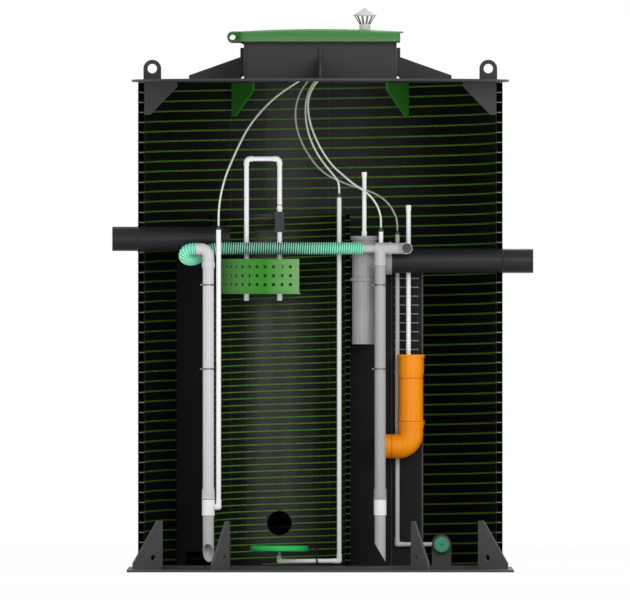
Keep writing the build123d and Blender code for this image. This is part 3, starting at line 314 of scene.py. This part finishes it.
class Finish(Nodes):
    """A material in the making: its nodes and its shader."""

    # The Mix node has sockets for every kind of data; these are the colour ones
    FIRST, SECOND, MIXED = 6, 7, 2

    def __init__(self, name):
        self.material = bpy.data.materials.new(name)
        self.material.use_nodes = True
        super().__init__(self.material.node_tree)
        self.shader = self.own("BSDF_PRINCIPLED")
        self.place = self.node("ShaderNodeTexCoord", {}, {}).outputs["Object"]

    def axes(self):
        """The place on the object along X, Y and Z, in metres."""
        parts = self.node("ShaderNodeSeparateXYZ", {}, {"Vector": self.place})
        return self.numbers(parts, *"XYZ")

    def facing_back(self):
        """How far the surface faces the back: 1 is straight back, -1 the front."""
        normal = self.node("ShaderNodeNewGeometry", {}, {}).outputs["Normal"]
        parts = self.node("ShaderNodeSeparateXYZ", {}, {"Vector": normal})
        return self.numbers(parts, "Y")[0]

    def noise(self, scale, detail=3.0, stretch=EVEN, roughness=0.5):
        """Noise from 0 to 1, with features of about 1 / scale metres."""
        moved = self.node(
            "ShaderNodeMapping", {}, {"Vector": self.place, "Scale": Vector(stretch)}
        )
        made = self.node(
            "ShaderNodeTexNoise",
            {},
            {
                "Vector": moved.outputs["Vector"],
                "Scale": scale,
                "Detail": detail,
                "Roughness": roughness,
            },
        )
        return self.numbers(made, "Fac")[0]

    def steps(self, value, *stops):
        """A colour ramp over a value."""
        made = self.node("ShaderNodeValToRGB", {"stops": stops}, {"Fac": value})
        return made.outputs["Color"]

    def cloudy(self, value, colour, darker, lighter, margin=0.3):
        """Shades of a colour over a value, from darker to lighter."""
        return self.steps(
            value,
            (margin, shade(colour, darker)),
            (1 - margin, shade(colour, lighter)),
        )

    def blend(self, share, first, second):
        """A colour from first to second by a share from 0 to 1."""
        made = self.node(
            "ShaderNodeMix",
            {"data_type": "RGBA"},
            {"Factor": share, self.FIRST: first, self.SECOND: second},
        )
        return made.outputs[self.MIXED]

    def lined(self, colour, lines):
        """A colour with thin straight lines in it, each at a place along an axis."""
        axes = dict(zip("XYZ", self.axes()))
        for axis, place, width, tint in lines:
            colour = self.blend(abs(axes[axis] - place) < width / 2, colour, tint)
        return colour

    def bump(self, height, distance):
        """Relief on the surface, in metres of height."""
        made = self.node("ShaderNodeBump", {}, {"Height": height, "Distance": distance})
        plug(self.tree, self.shader.inputs["Normal"], made.outputs["Normal"])

    def set(self, **sockets):
        """Sets the shader's own sockets; an underscore in a name is a space."""
        for key, value in sockets.items():
            plug(self.tree, self.shader.inputs[key.replace("_", " ")], value)


def plate_marks(finish):
    """The scuffs of handled plate, and their mix with its cloudiness."""
    cloud = finish.noise(3.2, 4.0)
    scuff = finish.noise(46.0, 5.0, (1, 1, 7), 0.62)
    return scuff, cloud * 0.7 + scuff * 0.3


def sheet_plastic(name, colour, roughness=0.5, mottle=0.1, gloss=0.15):
    """Cut and welded plastic plate: slight cloudiness, fine grain, faint scuffs."""
    finish = Finish(name)
    scuff, share = plate_marks(finish)
    grain = finish.noise(420.0, 2.0)
    finish.set(
        Base_Color=finish.cloudy(share, colour, 1 - mottle, 1 + mottle),
        Roughness=scuff * 0.22 + (roughness - 0.11),
        Specular_IOR_Level=gloss,
    )
    finish.bump(grain * 0.4 + scuff * 0.6, 0.12 * MM)
    return finish.material


def pipe_plastic(
    name, colour, roughness=0.34, streak=LINES_UP, mottle=0.03, seams=(), gloss=0.3
):
    """Extruded pipe: smooth, with faint lines along its length."""
    finish = Finish(name)
    lines = finish.noise(1.0, 3.0, streak)
    cloud = finish.noise(5.0, 3.0)
    tone = finish.cloudy(
        lines * 0.5 + cloud * 0.5, colour, 1 - mottle, 1 + mottle, 0.32
    )
    finish.set(
        Base_Color=finish.lined(tone, seams),
        Roughness=lines * 0.16 + (roughness - 0.08),
        Specular_IOR_Level=gloss,
    )
    finish.bump(lines, 0.12 * MM)
    return finish.material


def wound_wall(name, gloss):
    """Wound hollow profile: the black skins that it shows inside and out."""
    finish = Finish(name)
    cloud = finish.noise(2.6, 4.0)
    grain = finish.noise(260.0, 2.0)
    skin = finish.steps(cloud, (0.3, srgb(13, 15, 13)), (0.72, srgb(22, 24, 22)))
    seams = [("X", place, 1.6 * MM, srgb(66, 74, 64)) for place in WALL_SEAMS]
    finish.set(
        Base_Color=finish.lined(skin, seams),
        Roughness=cloud * 0.16 + 0.26,
        Specular_IOR_Level=gloss,
    )
    finish.bump(grain * 0.5 + cloud * 0.5, 0.2 * MM)
    return finish.material


def cut_wall(name):
    """The same profile where it is cut: black cells and pale welded ribs."""
    finish = Finish(name)
    across, _, up = finish.axes()
    tank = abs(across) > TANK_RADIUS - 1.5 * TANK_WALL
    tank_rib = (up - TANK_RIB_TOP).maths("PINGPONG", TANK_PITCH / 2) < RIB_HALF
    inner_rib = (up - INNER_RIB_TOP).maths("PINGPONG", INNER_PITCH / 2) < RIB_HALF
    edge = tank * (abs(across) < TANK_RADIUS - TANK_WALL + CELL_SKIN * 0.6)
    rough = finish.noise(90.0, 3.0)
    cell = finish.steps(rough, (0.3, srgb(5, 6, 5)), (0.7, srgb(9, 10, 9)))
    weld = finish.steps(rough, (0.3, srgb(84, 108, 78)), (0.7, srgb(112, 138, 104)))
    tone = finish.blend(tank_rib * tank + inner_rib * (1 - tank) * 0.75, cell, weld)
    finish.set(
        Base_Color=finish.blend(edge, tone, srgb(52, 62, 49)),
        Roughness=rough * 0.2 + 0.7,
        Specular_IOR_Level=0.0,
    )
    finish.bump(rough, 0.1 * MM)
    return finish.material


def black_panel(name):
    """Black plate: darker left of its seam, and paler where its edge is cut."""
    finish = Finish(name)
    across = finish.axes()[0]
    scuff, share = plate_marks(finish)
    dark = finish.steps(share, (0.3, srgb(14, 14, 15)), (0.7, srgb(20, 20, 21)))
    light = finish.steps(share, (0.3, srgb(22, 22, 23)), (0.7, srgb(28, 28, 29)))
    tone = finish.blend(across > PANEL_SEAM, dark, light)
    edge = (across > PANEL_END) * (finish.facing_back() < -0.9)
    tone = finish.blend(edge, tone, srgb(84, 84, 84))
    finish.set(
        Base_Color=finish.lined(
            tone, [("X", PANEL_SEAM, 1.4 * MM, srgb(78, 78, 79))]
        ),
        Roughness=scuff * 0.22 + 0.38,
        Specular_IOR_Level=0.1,
    )
    finish.bump(scuff, 0.12 * MM)
    return finish.material


def weld_bead(name, colour):
    """The extruded bead that joins one turn of the wall to the next."""
    finish = Finish(name)
    ripple = finish.noise(70.0, 4.0, (1, 1, 3))
    finish.set(
        Base_Color=finish.cloudy(ripple, colour, 0.72, 1.25),
        Roughness=ripple * 0.2 + 0.4,
        Specular_IOR_Level=0.2,
    )
    finish.bump(ripple, 0.3 * MM)
    return finish.material


def hose_painted_light(name):
    """Mint hose with painted light: a painted highlight on its ridges, and painted
    shade in its grooves, as dark as what lies behind the hose.
    """
    finish = Finish(name)
    across = finish.axes()[0]
    stored = finish.node("ShaderNodeAttribute", {"attribute_name": "ridge"}, {})
    ridge = finish.numbers(stored, "Fac")[0]
    cloud = finish.noise(16.0, 3.0)
    # Painted shade in the grooves: darkest in the middle of the run, where dark parts
    # lie behind the hose, and paler towards both ends.
    painted_groove_shade = finish.steps(
        (across - HOSE_LEFT) / HOSE_SPAN,
        (0.02, srgb(92, 222, 172)),
        (0.15, srgb(60, 176, 134)),
        (0.2, srgb(2, 20, 15)),
        (0.5, srgb(3, 26, 20)),
        (0.66, srgb(30, 112, 88)),
        (0.9, srgb(72, 190, 154)),
    )
    # Painted highlight on the crests of the ridges.
    painted_crest_highlight = finish.steps(cloud, (0.3, srgb(136, 242, 200)), (0.7, srgb(190, 255, 232)))
    finish.set(
        Base_Color=finish.blend(ridge, painted_groove_shade, painted_crest_highlight),
        Roughness=0.42 - ridge * 0.12,
        Specular_IOR_Level=0.3,
    )
    finish.bump(cloud, 0.2 * MM)
    return finish.material


def lid_painted_reflection(name):
    """Moulded lid with a painted reflection on its skirt: bluer under its top edge,
    yellower towards the skirt's foot.
    """
    finish = Finish(name)
    up = finish.axes()[2]
    grain = finish.noise(700.0, 2.0)
    cloud = finish.noise(6.0, 4.0)
    height = (up - LID_FOOT) / (LID_EDGE - LID_FOOT)
    finish.set(
        # Painted reflection: the skirt runs from yellow-green at its foot to blue-green
        # under its top edge.
        Base_Color=finish.steps(
            height + (cloud - 0.5) * 0.3,
            (0.0, srgb(104, 146, 84)),
            (0.35, srgb(96, 142, 88)),
            (0.78, srgb(78, 134, 92)),
            (0.95, srgb(82, 146, 72)),
        ),
        Roughness=cloud * 0.2 + 0.45,
        Specular_IOR_Level=0.02,
    )
    finish.bump(grain, 0.05 * MM)
    return finish.material


def disc_membrane(name, colour):
    """The disc diffuser's rubber, with rows of fine slits."""
    finish = Finish(name)
    across, along, _ = finish.axes()
    slit = (across * 560 * math.pi).maths("SINE")
    slit *= (along * 280 * math.pi).maths("SINE")
    cloud = finish.noise(9.0, 3.0)
    finish.set(
        Base_Color=finish.cloudy(cloud + slit * 0.06, colour, 0.85, 1.2),
        Roughness=cloud * 0.15 + 0.35,
        Specular_IOR_Level=0.45,
    )
    finish.bump(slit, 0.25 * MM)
    return finish.material


def tube_membrane(name, colour):
    """The tube diffuser's rubber, with a rim and a hub on its end caps."""
    finish = Finish(name)
    across, along, up = finish.axes()
    low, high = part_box("tube_diffuser")
    aside = across - (low[0] + high[0]) / 2
    above = up - (low[2] + high[2]) / 2
    reach = (aside * aside + above * above).maths("SQRT")
    slit = (along * 900.0).maths("SINE")
    cloud = finish.noise(9.0, 3.0)
    tone = finish.cloudy(cloud + slit * 0.05, colour, 0.9, 1.15)
    tone = finish.blend(reach > 33 * MM, tone, shade(colour, 0.5))
    finish.set(
        Base_Color=finish.blend(reach < 9 * MM, tone, shade(colour, 0.66)),
        Roughness=cloud * 0.15 + 0.35,
        Specular_IOR_Level=0.3,
    )
    finish.bump(slit, 0.2 * MM)
    return finish.material


def basket_painted_shading(name):
    """The basket's sheet, with painted shading: its green paler towards both sides of
    the curve, darker between.
    """
    finish = Finish(name)
    across = finish.axes()[0]
    low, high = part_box("basket")
    cloud = finish.noise(6.0, 4.0)
    share = (across - low[0]) / (high[0] - low[0])
    finish.set(
        # Painted shading: paler at both ends of the curve, darkest a little right of
        # its middle.
        Base_Color=finish.steps(
            share + (cloud - 0.5) * 0.12,
            (0.1, srgb(92, 152, 78)),
            (0.56, srgb(52, 132, 34)),
            (0.7, srgb(84, 146, 70)),
            (0.98, srgb(112, 164, 100)),
        ),
        Roughness=cloud * 0.2 + 0.36,
        Specular_IOR_Level=0.12,
    )
    finish.bump(cloud, 0.2 * MM)
    return finish.material


def steel(name):
    """Stainless steel with a fine brushed grain."""
    finish = Finish(name)
    grain = finish.noise(1.0, 3.0, BRUSHED)
    finish.set(
        Base_Color=finish.steps(
            grain, (0.3, srgb(92, 94, 96)), (0.7, srgb(122, 124, 126))
        ),
        Roughness=grain * 0.2 + 0.28,
        Metallic=1.0,
    )
    finish.bump(grain, 0.04 * MM)
    return finish.material


ORANGE_SEAMS = [
    (axis, place, 2.8 * MM, srgb(150, 84, 16))
    for axis, place in (("Z", 866 * MM), ("Z", 672 * MM), ("X", 321.5 * MM))
]
FINISHES = {
    "plate_grey": sheet_plastic("dark_plate", srgb(64, 64, 65)),
    "wall_black": wound_wall("wound_wall", 0.16),
    "lid_green": lid_painted_reflection("lid_green"),
    "bracket_green": sheet_plastic("bracket_green", srgb(60, 140, 46), 0.5, 0.08),
    "pipe_black": pipe_plastic(
        "black_pipe", srgb(36, 36, 38), streak=LINES_ACROSS, mottle=0.07, gloss=0.2
    ),
    "pipe_white": pipe_plastic("white_pipe", srgb(250, 251, 250), 0.3, mottle=0.01),
    "pipe_grey": pipe_plastic("grey_pipe", srgb(170, 171, 172), mottle=0.04),
    "pipe_orange": pipe_plastic(
        "orange_pipe", srgb(250, 148, 8), 0.3, LINES_UP, 0.05, ORANGE_SEAMS, 0.2
    ),
    "hose_mint": hose_painted_light("corrugated_hose"),
    "air_hose": pipe_plastic("air_hose", srgb(224, 234, 216), 0.4, NO_LINES, 0.04),
    "fitting_teal": pipe_plastic(
        "teal_fitting", srgb(34, 78, 66), 0.35, NO_LINES, 0.07
    ),
    "basket_green": basket_painted_shading("basket_green"),
    "disc_green": disc_membrane("disc_membrane", srgb(24, 192, 86)),
    "diffuser_teal": tube_membrane("tube_membrane", srgb(64, 144, 112)),
    "vent_grey": sheet_plastic("vent_grey", srgb(232, 232, 231), 0.5, 0.04),
    "panel_black": black_panel("black_panel"),
    "clamp_steel": steel("stainless_steel"),
    "strip_grey": sheet_plastic("pale_strip", srgb(138, 141, 135)),
}
CUT_FACE = cut_wall("cut_wall")
CELL_FACE = sheet_plastic("cell_black", srgb(5, 6, 5), 0.8, gloss=0.0)
SLAT_GREY = sheet_plastic("slat_grey", srgb(146, 148, 140), 0.5, 0.04)
BEAD_GREEN = weld_bead("green_weld", srgb(80, 124, 44))
GREY_HOSE = pipe_plastic("grey_air_hose", srgb(168, 174, 164), 0.4, NO_LINES, 0.04)


def own_finishes():
    """Finishes of the nodes that look different from the rest of their slot."""
    low, high = (corner[2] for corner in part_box("riser_couplings"))
    joint = ("Z", high + 1.5 * MM, 2.6 * MM, srgb(120, 120, 120))
    foot = ("Z", low - 1.0 * MM, 2.2 * MM, srgb(120, 120, 120))
    # Painted shadow: a dark band on the neck just under the lid's skirt, where the
    # skirt's shadow falls.
    painted_lid_shadow = ("Z", LID_FOOT - 8 * MM, 16 * MM, srgb(46, 48, 53))
    pale = pipe_plastic("pale_grey_pipe", srgb(212, 210, 212), seams=[joint])
    warm = pipe_plastic("light_grey_pipe", srgb(192, 190, 191))
    inner = wound_wall("inner_wound_wall", 0.27)
    return {
        "inner_wall_1": inner,
        "inner_wall_2": inner,
        "inner_wall_3": inner,
        "left_riser": pale,
        "left_elbow": pale,
        "right_riser": pipe_plastic(
            "right_riser_grey", srgb(170, 170, 172), seams=[joint]
        ),
        "riser_feet": pipe_plastic("foot_pipe", srgb(190, 190, 190), seams=[foot]),
        "disc_diffuser_pipe": pipe_plastic(
            "feed_pipe_white", srgb(230, 232, 228), 0.3, mottle=0.02
        ),
        "tube_diffuser_pipe": pipe_plastic("feed_pipe_grey", srgb(194, 194, 194)),
        "left_partition": sheet_plastic("partition_black", srgb(40, 40, 44)),
        "foot_gussets": sheet_plastic("gusset_grey", srgb(74, 74, 76)),
        "base_plate": sheet_plastic("base_grey", srgb(70, 70, 71)),
        "neck": pipe_plastic(
            "neck_grey", srgb(64, 64, 65), 0.5, LINES_UP, 0.07, [painted_lid_shadow], 0.12
        ),
        # Painted light: a grey paler than the neck's, to make up for the shade the
        # gussets stand in beside the neck.
        "neck_gussets": sheet_plastic("neck_gusset_lightened_grey", srgb(68, 68, 69)),
        "right_tee": warm,
        "right_elbow": warm,
        "outlet_tee": pipe_plastic(
            "tee_grey", srgb(156, 156, 156), 0.38, FINE_LINES_UP, 0.2
        ),
        "hinge_pin": FINISHES["lid_green"],
    }


def dress_wall(name, mesh):
    """Gives a wall its finish at the cut, and plain black inside its hollow cells."""
    cut, cell = 1, 2
    mesh.materials.append(CUT_FACE)
    mesh.materials.append(CELL_FACE)
    if name.startswith("inner"):
        axis_x, outer, wall = INNER_X, INNER_RADIUS, INNER_WALL
    else:
        axis_x, outer, wall = 0.0, TANK_RADIUS, TANK_WALL
    for face in mesh.polygons:
        corners = [mesh.vertices[index].co for index in face.vertices]
        reaches = [math.hypot(corner.x - axis_x, corner.y) for corner in corners]
        if abs(face.center.y) < 0.6 * MM and face.normal.y < -0.9:
            face.material_index = cut
        elif max(reaches) > outer - wall + 1 * MM and min(reaches) < outer - 1 * MM:
            face.material_index = cell


def dress_solids():
    """Gives each solid its own finish, or else that of its slot."""
    own = own_finishes()
    slots = {row["node"]: row["material_slot"] for row in frame["record"]["subparts"]}
    for name, node in frame["nodes"].items():
        node.data.materials.clear()
        node.data.materials.append(own.get(name, FINISHES[slots[name]]))
        if slots[name] == "wall_black":
            dress_wall(name, node.data)


def add_mesh(name, vertices, faces, material, body="tank", smooth=True):
    """A new mesh piece that rides on a body."""
    mesh = bpy.data.meshes.new(name)
    mesh.from_pydata(vertices, [], faces)
    mesh.validate()
    if smooth:
        mesh.shade_smooth()
    piece = bpy.data.objects.new(name, mesh)
    bpy.context.scene.collection.objects.link(piece)
    mesh.materials.append(material)
    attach(piece, body)
    return piece


def tube_faces(rings, around):
    """Faces between rings of vertices, and a cap on the first ring and on the last."""
    faces = []
    for ring in range(rings - 1):
        for index in range(around):
            a = ring * around + index
            b = ring * around + (index + 1) % around
            faces.append((a, b, b + around, a + around))
    faces.append(tuple(reversed(range(around))))
    faces.append(tuple(range((rings - 1) * around, rings * around)))
    return faces


def turned(axis_x, axis_y, profile):
    """Vertices and faces of a shape turned about an upright axis, from (radius, z)."""
    around = 32
    turns = [2 * math.pi * index / around for index in range(around)]
    vertices = [
        (axis_x + radius * math.cos(turn), axis_y + radius * math.sin(turn), height)
        for radius, height in profile
        for turn in turns
    ]
    return vertices, tube_faces(len(profile), around)


def in_hole(point):
    """Whether a point of a bead lies over one of the walls' round holes."""
    tank_middle = TANK_RADIUS - TANK_WALL / 2
    inner_middle = INNER_RADIUS - INNER_WALL / 2
    holes = (
        (-tank_middle, 0, INLET_HEIGHT),
        (tank_middle, 0, OUTLET_HEIGHT),
        (INNER_X - inner_middle, 0, INLET_HEIGHT),
        (INNER_X, inner_middle, PORT_HEIGHT),
    )
    return any((point - Vector(hole)).length < PIPE_HOLE for hole in holes)


def helix_beads(name, axis_x, radius, outward, top, pitch, width):
    """Beads that climb a pitch in half a turn each, from the left cut to the right."""
    vertices = []
    faces = []
    size = len(BEAD_PROFILE)
    height = top - TANK_LOW
    start = top - CELL_SKIN - math.floor(height / pitch + 1) * pitch
    for index in range(int((top - start) / pitch) + 1):
        joined = False
        for step in range(BEAD_STEPS + 1):
            share = step / BEAD_STEPS
            middle = start + (index + share) * pitch
            angle = math.pi * (1 - share)
            way = Vector((math.cos(angle), math.sin(angle), 0))
            place = Vector((axis_x, 0, middle)) + way * radius
            inside = TANK_LOW <= middle - width / 2 and middle + width / 2 <= top
            if not inside or in_hole(place):
                joined = False
                continue
            for along, rise in BEAD_PROFILE:
                lift = Vector((0, 0, along * width))
                vertices.append(place + lift + way * outward * rise * BEAD_RISE)
            if joined:
                for side in range(size - 1):
                    b = len(vertices) - size + side
                    a = b - size
                    face = (a, a + 1, b + 1, b)
                    faces.append(face if outward > 0 else face[::-1])
            joined = True
    add_mesh(name, vertices, faces, BEAD_GREEN)


def weld_lines():
    """Beads on both faces of the tank's wall and of the inner cylinder."""
    for name, axis_x, outside, wall, *rest in (
        ("tank", 0, TANK_RADIUS, TANK_WALL, TANK_TOP, TANK_PITCH, TANK_BEAD),
        (
            "inner", INNER_X, INNER_RADIUS, INNER_WALL,
            INNER_TOP, INNER_PITCH, INNER_BEAD,
        ),
    ):
        helix_beads(f"{name}_weld_inside", axis_x, outside - wall, -1, *rest)
        helix_beads(f"{name}_weld_outside", axis_x, outside, 1, *rest)


def nurbs(name, points):
    """One open smooth curve with these control points."""
    data = bpy.data.curves.new(name, "CURVE")
    data.dimensions = "3D"
    data.resolution_u = 24
    spline = data.splines.new("NURBS")
    spline.points.add(len(points) - 1)
    for place, point in zip(spline.points, points):
        place.co = (*point, 1.0)
    spline.order_u = 3
    spline.use_endpoint_u = True
    curve = bpy.data.objects.new(name, data)
    bpy.context.scene.collection.objects.link(curve)
    return curve


def line_points(points):
    """Points along the smooth curve of these control points."""
    curve = nurbs("route", points)
    mesh = bpy.data.meshes.new_from_object(curve)
    places = [vertex.co.copy() for vertex in mesh.vertices]
    bpy.data.meshes.remove(mesh)
    bpy.data.objects.remove(curve)
    return places


def chain_length(places):
    """Length of a chain of points."""
    return sum((b - a).length for a, b in zip(places, places[1:]))


def resample(places, step):
    """Evenly spaced (place, way along, distance) on a fine chain of points."""
    out = []
    travelled = 0.0
    wanted = 0.0
    for a, b in zip(places, places[1:]):
        run = (b - a).length
        while run > 0 and wanted <= travelled + run:
            place = a.lerp(b, (wanted - travelled) / run)
            out.append((place, (b - a).normalized(), wanted))
            wanted += step
        travelled += run
    return out


def air_hoses():
    """The four thin hoses, each a smooth curve with a round section."""
    for name, points in AIR_HOSE_POINTS.items():
        hose = nurbs(f"{name}_line", points)
        hose.data.bevel_depth = AIR_HOSE_DIAMETER / 2
        hose.data.bevel_resolution = 5
        hose.data.use_fill_caps = True
        grey = name == "air_hose_3"
        hose.data.materials.append(GREY_HOSE if grey else FINISHES["air_hose"])
        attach(hose, "tank")
        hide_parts(name)
        chain_length(line_points(points))


def corrugated_hose():
    """The mint hose, its wall wound in a helix of round ridges."""
    places = line_points(HOSE_POINTS)
    rings = resample(places, HOSE_PITCH / HOSE_RINGS_A_PITCH)
    vertices = []
    ridges = []
    normal = Vector((0, 0, 1))
    for place, way, travelled in rings:
        side = way.cross(normal).normalized()
        normal = side.cross(way).normalized()
        for index in range(HOSE_AROUND):
            turn = 2 * math.pi * index / HOSE_AROUND
            wave = 0.5 + 0.5 * math.cos(2 * math.pi * travelled / HOSE_PITCH - turn)
            ridge = wave**HOSE_CREST
            reach = HOSE_DIAMETER / 2 - HOSE_DEPTH * (1 - ridge)
            out = side * math.cos(turn) + normal * math.sin(turn)
            vertices.append(place + out * reach)
            ridges.append(ridge)
    hose = add_mesh(
        "corrugated_hose_skin", vertices, tube_faces(len(rings), HOSE_AROUND),
        FINISHES["hose_mint"],
    )
    attribute = hose.data.attributes.new("ridge", "FLOAT", "POINT")
    attribute.data.foreach_set("value", ridges)
    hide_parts("corrugated_hose")


def vent_cap():
    """The vent's cone, with a rolled edge, on twelve slanted slats."""
    tube_low, tube_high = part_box("vent_tube")
    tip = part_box("vent_head")[1][2]
    axis = (tube_low[0] + tube_high[0]) / 2
    foot = tube_high[2]
    eaves = foot + VENT_EAVES
    cone = (
        (52 * MM, eaves),
        (54.5 * MM, eaves + 2 * MM),
        (51 * MM, eaves + 4.4 * MM),
        (26 * MM, eaves + 19 * MM),
        (4 * MM, tip - 1 * MM),
        (1 * MM, tip),
    )
    vertices, faces = turned(axis, 0, cone)
    head = add_mesh(
        "vent_cone", vertices, faces, FINISHES["vent_grey"], "lid"
    )
    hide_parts("vent_head")

    slat_count = 12
    slat_half = 4.4 * MM
    sunk = foot - 1 * MM
    section = ((22 * MM, sunk), (25 * MM, sunk), (48 * MM, eaves), (45 * MM, eaves))
    vertices = []
    faces = []
    for index in range(slat_count):
        turn = 2 * math.pi * (index + 0.5) / slat_count
        out = Vector((math.cos(turn), math.sin(turn), 0))
        side = Vector((-math.sin(turn), math.cos(turn), 0)) * slat_half
        start = len(vertices)
        for reach, height in section:
            place = Vector((axis, 0, height)) + out * reach
            vertices += [place - side, place + side]
        for corner in range(4):
            a = start + corner * 2
            b = start + (corner + 1) % 4 * 2
            faces.append((a, a + 1, b + 1, b))
        faces.append(tuple(start + corner * 2 + 1 for corner in range(4)))
        faces.append(tuple(start + corner * 2 for corner in (3, 2, 1, 0)))
    add_mesh("vent_slats", vertices, faces, SLAT_GREY, "lid", False)


def handle_end():
    """The white ball end that the handle's pipe has above its block, and its seal."""
    place = (-183 * MM, -30 * MM)
    middle = 1630 * MM
    half = 15 * MM
    neck = 8.6 * MM
    radius = 13.4 * MM
    steps = 12
    leans = [math.pi * (step / steps - 0.5) for step in range(1, steps)]
    ball = [
        (neck, middle - half),
        *((radius * math.cos(a), middle + radius * math.sin(a)) for a in leans),
        (neck, middle + half),
    ]
    vertices, faces = turned(*place, ball)
    add_mesh(
        "handle_ball_end", vertices, faces, FINISHES["pipe_white"]
    )
    seal = (
        (10.9 * MM, middle + 13 * MM),
        (11.3 * MM, middle + 14 * MM),
        (11.3 * MM, middle + 16 * MM),
        (10.9 * MM, middle + 17 * MM),
    )
    vertices, faces = turned(*place, seal)
    add_mesh(
        "handle_ball_seal", vertices, faces, FINISHES["plate_grey"]
    )


def soften(name):
    """Rounds the edges of a solid a little, as cut and deburred plastic has."""
    bevel = frame["nodes"][name].modifiers.new("deburr", "BEVEL")
    bevel.width = 0.8 * MM
    bevel.segments = 2
    bevel.limit_method = "ANGLE"
    bevel.angle_limit = math.radians(40)


def white_world():
    """White surroundings, and a softer white where they only light the object."""
    world = bpy.data.worlds.new("studio")
    bpy.context.scene.world = world
    world.use_nodes = True
    sky = Nodes(world.node_tree)
    ray = sky.node("ShaderNodeLightPath", {}, {})
    seen, glossy, through = sky.numbers(
        ray, "Is Camera Ray", "Is Glossy Ray", "Is Transmission Ray"
    )
    background = sky.own("BACKGROUND")
    background.inputs["Color"].default_value = (1, 1, 1, 1)
    light = 0.62
    strength = light + (seen + glossy + through) * (1 - light)
    plug(sky.tree, background.inputs["Strength"], strength)


def pale_floor():
    """A floor that the camera sees almost white, with the object's faint shadow."""
    finish = Finish("pale_floor")
    finish.set(Base_Color=(0.9, 0.9, 0.9, 1), Roughness=0.9)
    ray = finish.node("ShaderNodeLightPath", {}, {})
    seen = finish.numbers(ray, "Is Camera Ray")[0]
    glow = finish.node("ShaderNodeEmission", {}, {})
    mix = finish.node(
        "ShaderNodeMixShader",
        {},
        {"Fac": seen * 0.96, 1: finish.shader.outputs[0], 2: glow.outputs[0]},
    )
    surface = finish.own("OUTPUT_MATERIAL").inputs["Surface"]
    plug(finish.tree, surface, mix.outputs[0])

    mesh = bpy.data.meshes.new("floor")
    reach = 12.0
    sides = ((-reach, -reach), (reach, -reach), (reach, reach), (-reach, reach))
    corners = [(x, y, 0) for x, y in sides]
    mesh.from_pydata(corners, [], [(0, 1, 2, 3)])
    mesh.materials.append(finish.material)
    floor = bpy.data.objects.new("floor", mesh)
    bpy.context.scene.collection.objects.link(floor)


def lamps():
    """Three soft lamps: in front at the right, in front at the left, and behind."""
    for name, place, aim, size, power in (
        ("key", (2.4, -5.4, 2.6), (0.0, 0.0, 1.2), 2.6, 115),
        ("fill", (-1.8, -5.6, 1.6), (0.0, 0.1, 1.2), 3.0, 40),
        ("back", (1.5, 4.5, 3.8), (0.0, 0.0, 1.2), 3.0, 90),
    ):
        lamp = bpy.data.lights.new(name, "AREA")
        lamp.energy = power
        lamp.size = size
        light = bpy.data.objects.new(name, lamp)
        light.location = place
        way = Vector(aim) - Vector(place)
        light.rotation_euler = way.to_track_quat("-Z", "Y").to_euler()
        bpy.context.scene.collection.objects.link(light)


def front_camera():
    """A camera square on to the front, so far off that no perspective shows."""
    lens = bpy.data.cameras.new("camera")
    lens.lens = 1620
    lens.sensor_width = 36
    lens.clip_start = 0.1
    lens.clip_end = 400
    frame_width = 2.835
    distance = frame_width * lens.lens / lens.sensor_width
    camera = bpy.data.objects.new("camera", lens)
    camera.location = (-0.02385, -distance, 1.2177)
    camera.rotation_euler = (math.radians(90), 0, 0)
    bpy.context.scene.collection.objects.link(camera)
    bpy.context.scene.camera = camera


bpy.context.scene.view_settings.view_transform = "Standard"
white_world()
pale_floor()
lamps()
front_camera()
dress_solids()
air_hoses()
corrugated_hose()
weld_lines()
vent_cap()
handle_end()
for plate in ("base_plate", "top_plate", "foot_gussets", "lifting_lugs"):
    soften(plate)
